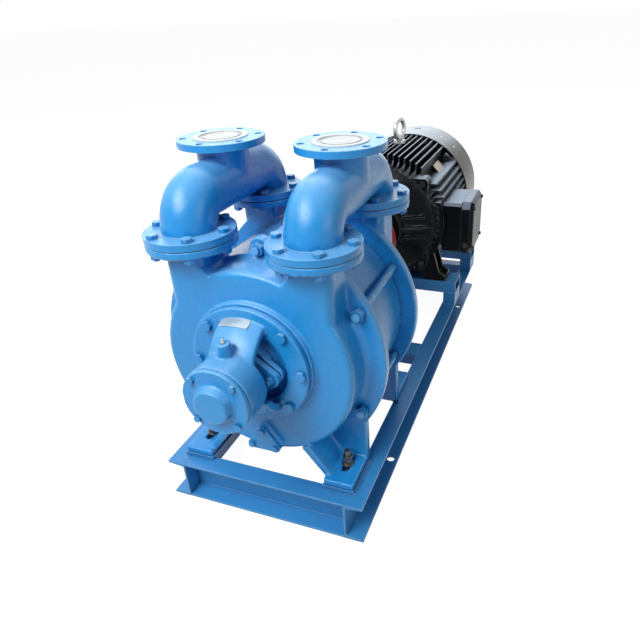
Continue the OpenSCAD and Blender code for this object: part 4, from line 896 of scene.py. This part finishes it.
def makeLidScrews(settings, earth):
    low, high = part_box("terminal_lid")
    bm = bmesh.new()
    for alongSide, upSide in settings["corners"]:
        along = (high.y if alongSide > 0 else low.y) / mm - alongSide * settings["inset"]
        up = (high.z if upSide > 0 else low.z) / mm - upSide * settings["inset"]
        place = standOn((high.x / mm - settings["sink"], along, up), (1, 0, 0))
        joinInto(bm, hexPrism(settings["flats"], settings["height"] + settings["sink"], settings["bevel"]), place)
    joinInto(bm, turnProfile(earth["washer"]), standOn(earth["place"], (0, -1, 0)))
    joinInto(bm, hexPrism(earth["flats"], earth["height"], earth["bevel"]),
             standOn(earth["place"], (0, -1, 0), earth["spin"]))
    placePiece("lidScrews", bm, "dullSteel", "set_base")


makeLidScrews(lidScrews, earthScrew)

# round-headed screws and a grommet on the fan cowl
cowlScrews = {"angles": [47, 62.5, 117.5, 133, 215, 325], "along": 88, "sink": 0.4,
              "profile": [(0, 3.2), (2.6, 3.0), (4.6, 2.2), (5.4, 1.0), (5.4, 0), (0, 0)],
              "grommet": (30, 11, 3), "grommetAlong": 120, "grommetSink": 1, "grommetCorner": 1.4}


def makeCowlScrews(settings):
    low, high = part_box("fan_cowl")
    radius = (high.x - low.x) / 2 / mm
    bm = bmesh.new()
    for angle in settings["angles"]:
        out = Vector((math.cos(math.radians(angle)), 0, math.sin(math.radians(angle))))
        place = Vector((0, low.y / mm + settings["along"], shaftZ / mm)) + out * (radius - settings["sink"])
        joinInto(bm, turnProfile(settings["profile"], 20), standOn(place, out))
    placePiece("cowlScrews", bm, "zincBright", "set_base")
    bm = bmesh.new()
    top = shaftZ / mm + radius - settings["grommetSink"]
    seat = Vector((0, low.y / mm + settings["grommetAlong"], top)) * mm
    joinInto(bm, makeBlock(settings["grommet"], settings["grommetCorner"], 3), Matrix.Translation(seat))
    placePiece("cowlGrommet", bm, "blackRubber", "set_base")


makeCowlScrews(cowlScrews)
print("plugs, welds, plates and screws made")


# pale floor, studio light and white surround
studioFloor = {"half": 45, "drop": 0.6, "tone": (0.42, 0.42, 0.42, 1), "glow": 0.94}
studioWorld = {"tone": (0.93, 0.96, 1, 1), "strength": 0.09}


def whiteForView(tree):
    path = addNode(tree, "ShaderNodeLightPath")
    seen = mathNode(tree, "MAXIMUM", path.outputs["Is Camera Ray"], path.outputs["Is Glossy Ray"])
    return mathNode(tree, "MAXIMUM", seen, path.outputs["Is Transmission Ray"])


def makeFloor(settings):
    bm = bmesh.new()
    bmesh.ops.create_grid(bm, x_segments=1, y_segments=1, size=settings["half"])
    bmesh.ops.translate(bm, verts=bm.verts, vec=(0, 0, -settings["drop"] * mm))
    mesh = bpy.data.meshes.new("studioFloor")
    bm.to_mesh(mesh)
    bm.free()
    material = bpy.data.materials.new("paleFloor")
    material.use_nodes = True
    tree = material.node_tree
    tree.nodes.remove(tree.nodes["Principled BSDF"])
    diffuse = addNode(tree, "ShaderNodeBsdfDiffuse", {"Color": settings["tone"]})
    glow = addNode(tree, "ShaderNodeEmission")
    tree.links.new(mathNode(tree, "MULTIPLY", whiteForView(tree), settings["glow"]), glow.inputs["Strength"])
    both = addNode(tree, "ShaderNodeAddShader")
    tree.links.new(diffuse.outputs[0], both.inputs[0])
    tree.links.new(glow.outputs[0], both.inputs[1])
    tree.links.new(both.outputs[0], tree.nodes["Material Output"].inputs["Surface"])
    mesh.materials.append(material)
    floor = bpy.data.objects.new("studioFloor", mesh)
    scene.collection.objects.link(floor)


def makeWorld(settings):
    world = bpy.data.worlds.new("studioWorld")
    scene.world = world
    world.use_nodes = True
    tree = world.node_tree
    soft = tree.nodes["Background"]
    soft.inputs["Color"].default_value = settings["tone"]
    soft.inputs["Strength"].default_value = settings["strength"]
    plain = addNode(tree, "ShaderNodeBackground", {"Color": white, "Strength": 1.0})
    mix = addNode(tree, "ShaderNodeMixShader")
    tree.links.new(whiteForView(tree), mix.inputs["Fac"])
    tree.links.new(soft.outputs[0], mix.inputs[1])
    tree.links.new(plain.outputs[0], mix.inputs[2])
    tree.links.new(mix.outputs[0], tree.nodes["World Output"].inputs["Surface"])


def makeLamp(name, settings):
    data = bpy.data.lights.new(name, "AREA")
    data.shape = "RECTANGLE"
    data.size, data.size_y = settings["size"]
    data.energy = settings["energy"]
    data.color = settings.get("tone", (1, 1, 1))
    lamp = bpy.data.objects.new(name, data)
    scene.collection.objects.link(lamp)
    lamp.location = settings["place"]
    aim = Vector(settings["aim"]) - Vector(settings["place"])
    lamp.rotation_euler = aim.to_track_quat("-Z", "Y").to_euler()
    lamp.visible_camera = False


lampSettings = {
    "keyLamp": {"place": (-0.7, -3.6, 3.4), "aim": (0, -0.4, 0.45), "size": (2.6, 2.0), "energy": 118},
    "softBox": {"place": (-1.2, -2.2, 3.3), "aim": (0, -0.6, 0.8), "size": (2.0, 1.5), "energy": 54},
    "topLamp": {"place": (-0.6, 1.4, 3.6), "aim": (0, -0.2, 0.4), "size": (2.8, 2.4), "energy": 42},
    "backPanel": {"place": (-2.2, 4.2, 2.6), "aim": (0, 0, 0.9), "size": (7.0, 4.8), "energy": 115,
                  "tone": (0.80, 0.91, 1.0)},
    "rightLamp": {"place": (3.2, -1.2, 1.6), "aim": (0, 0, 0.5), "size": (1.6, 1.6), "energy": 16},
}
makeFloor(studioFloor)
makeWorld(studioWorld)
for name, settings in lampSettings.items():
    makeLamp(name, settings)
scene.view_settings.view_transform = "Standard"
print("studio lit")
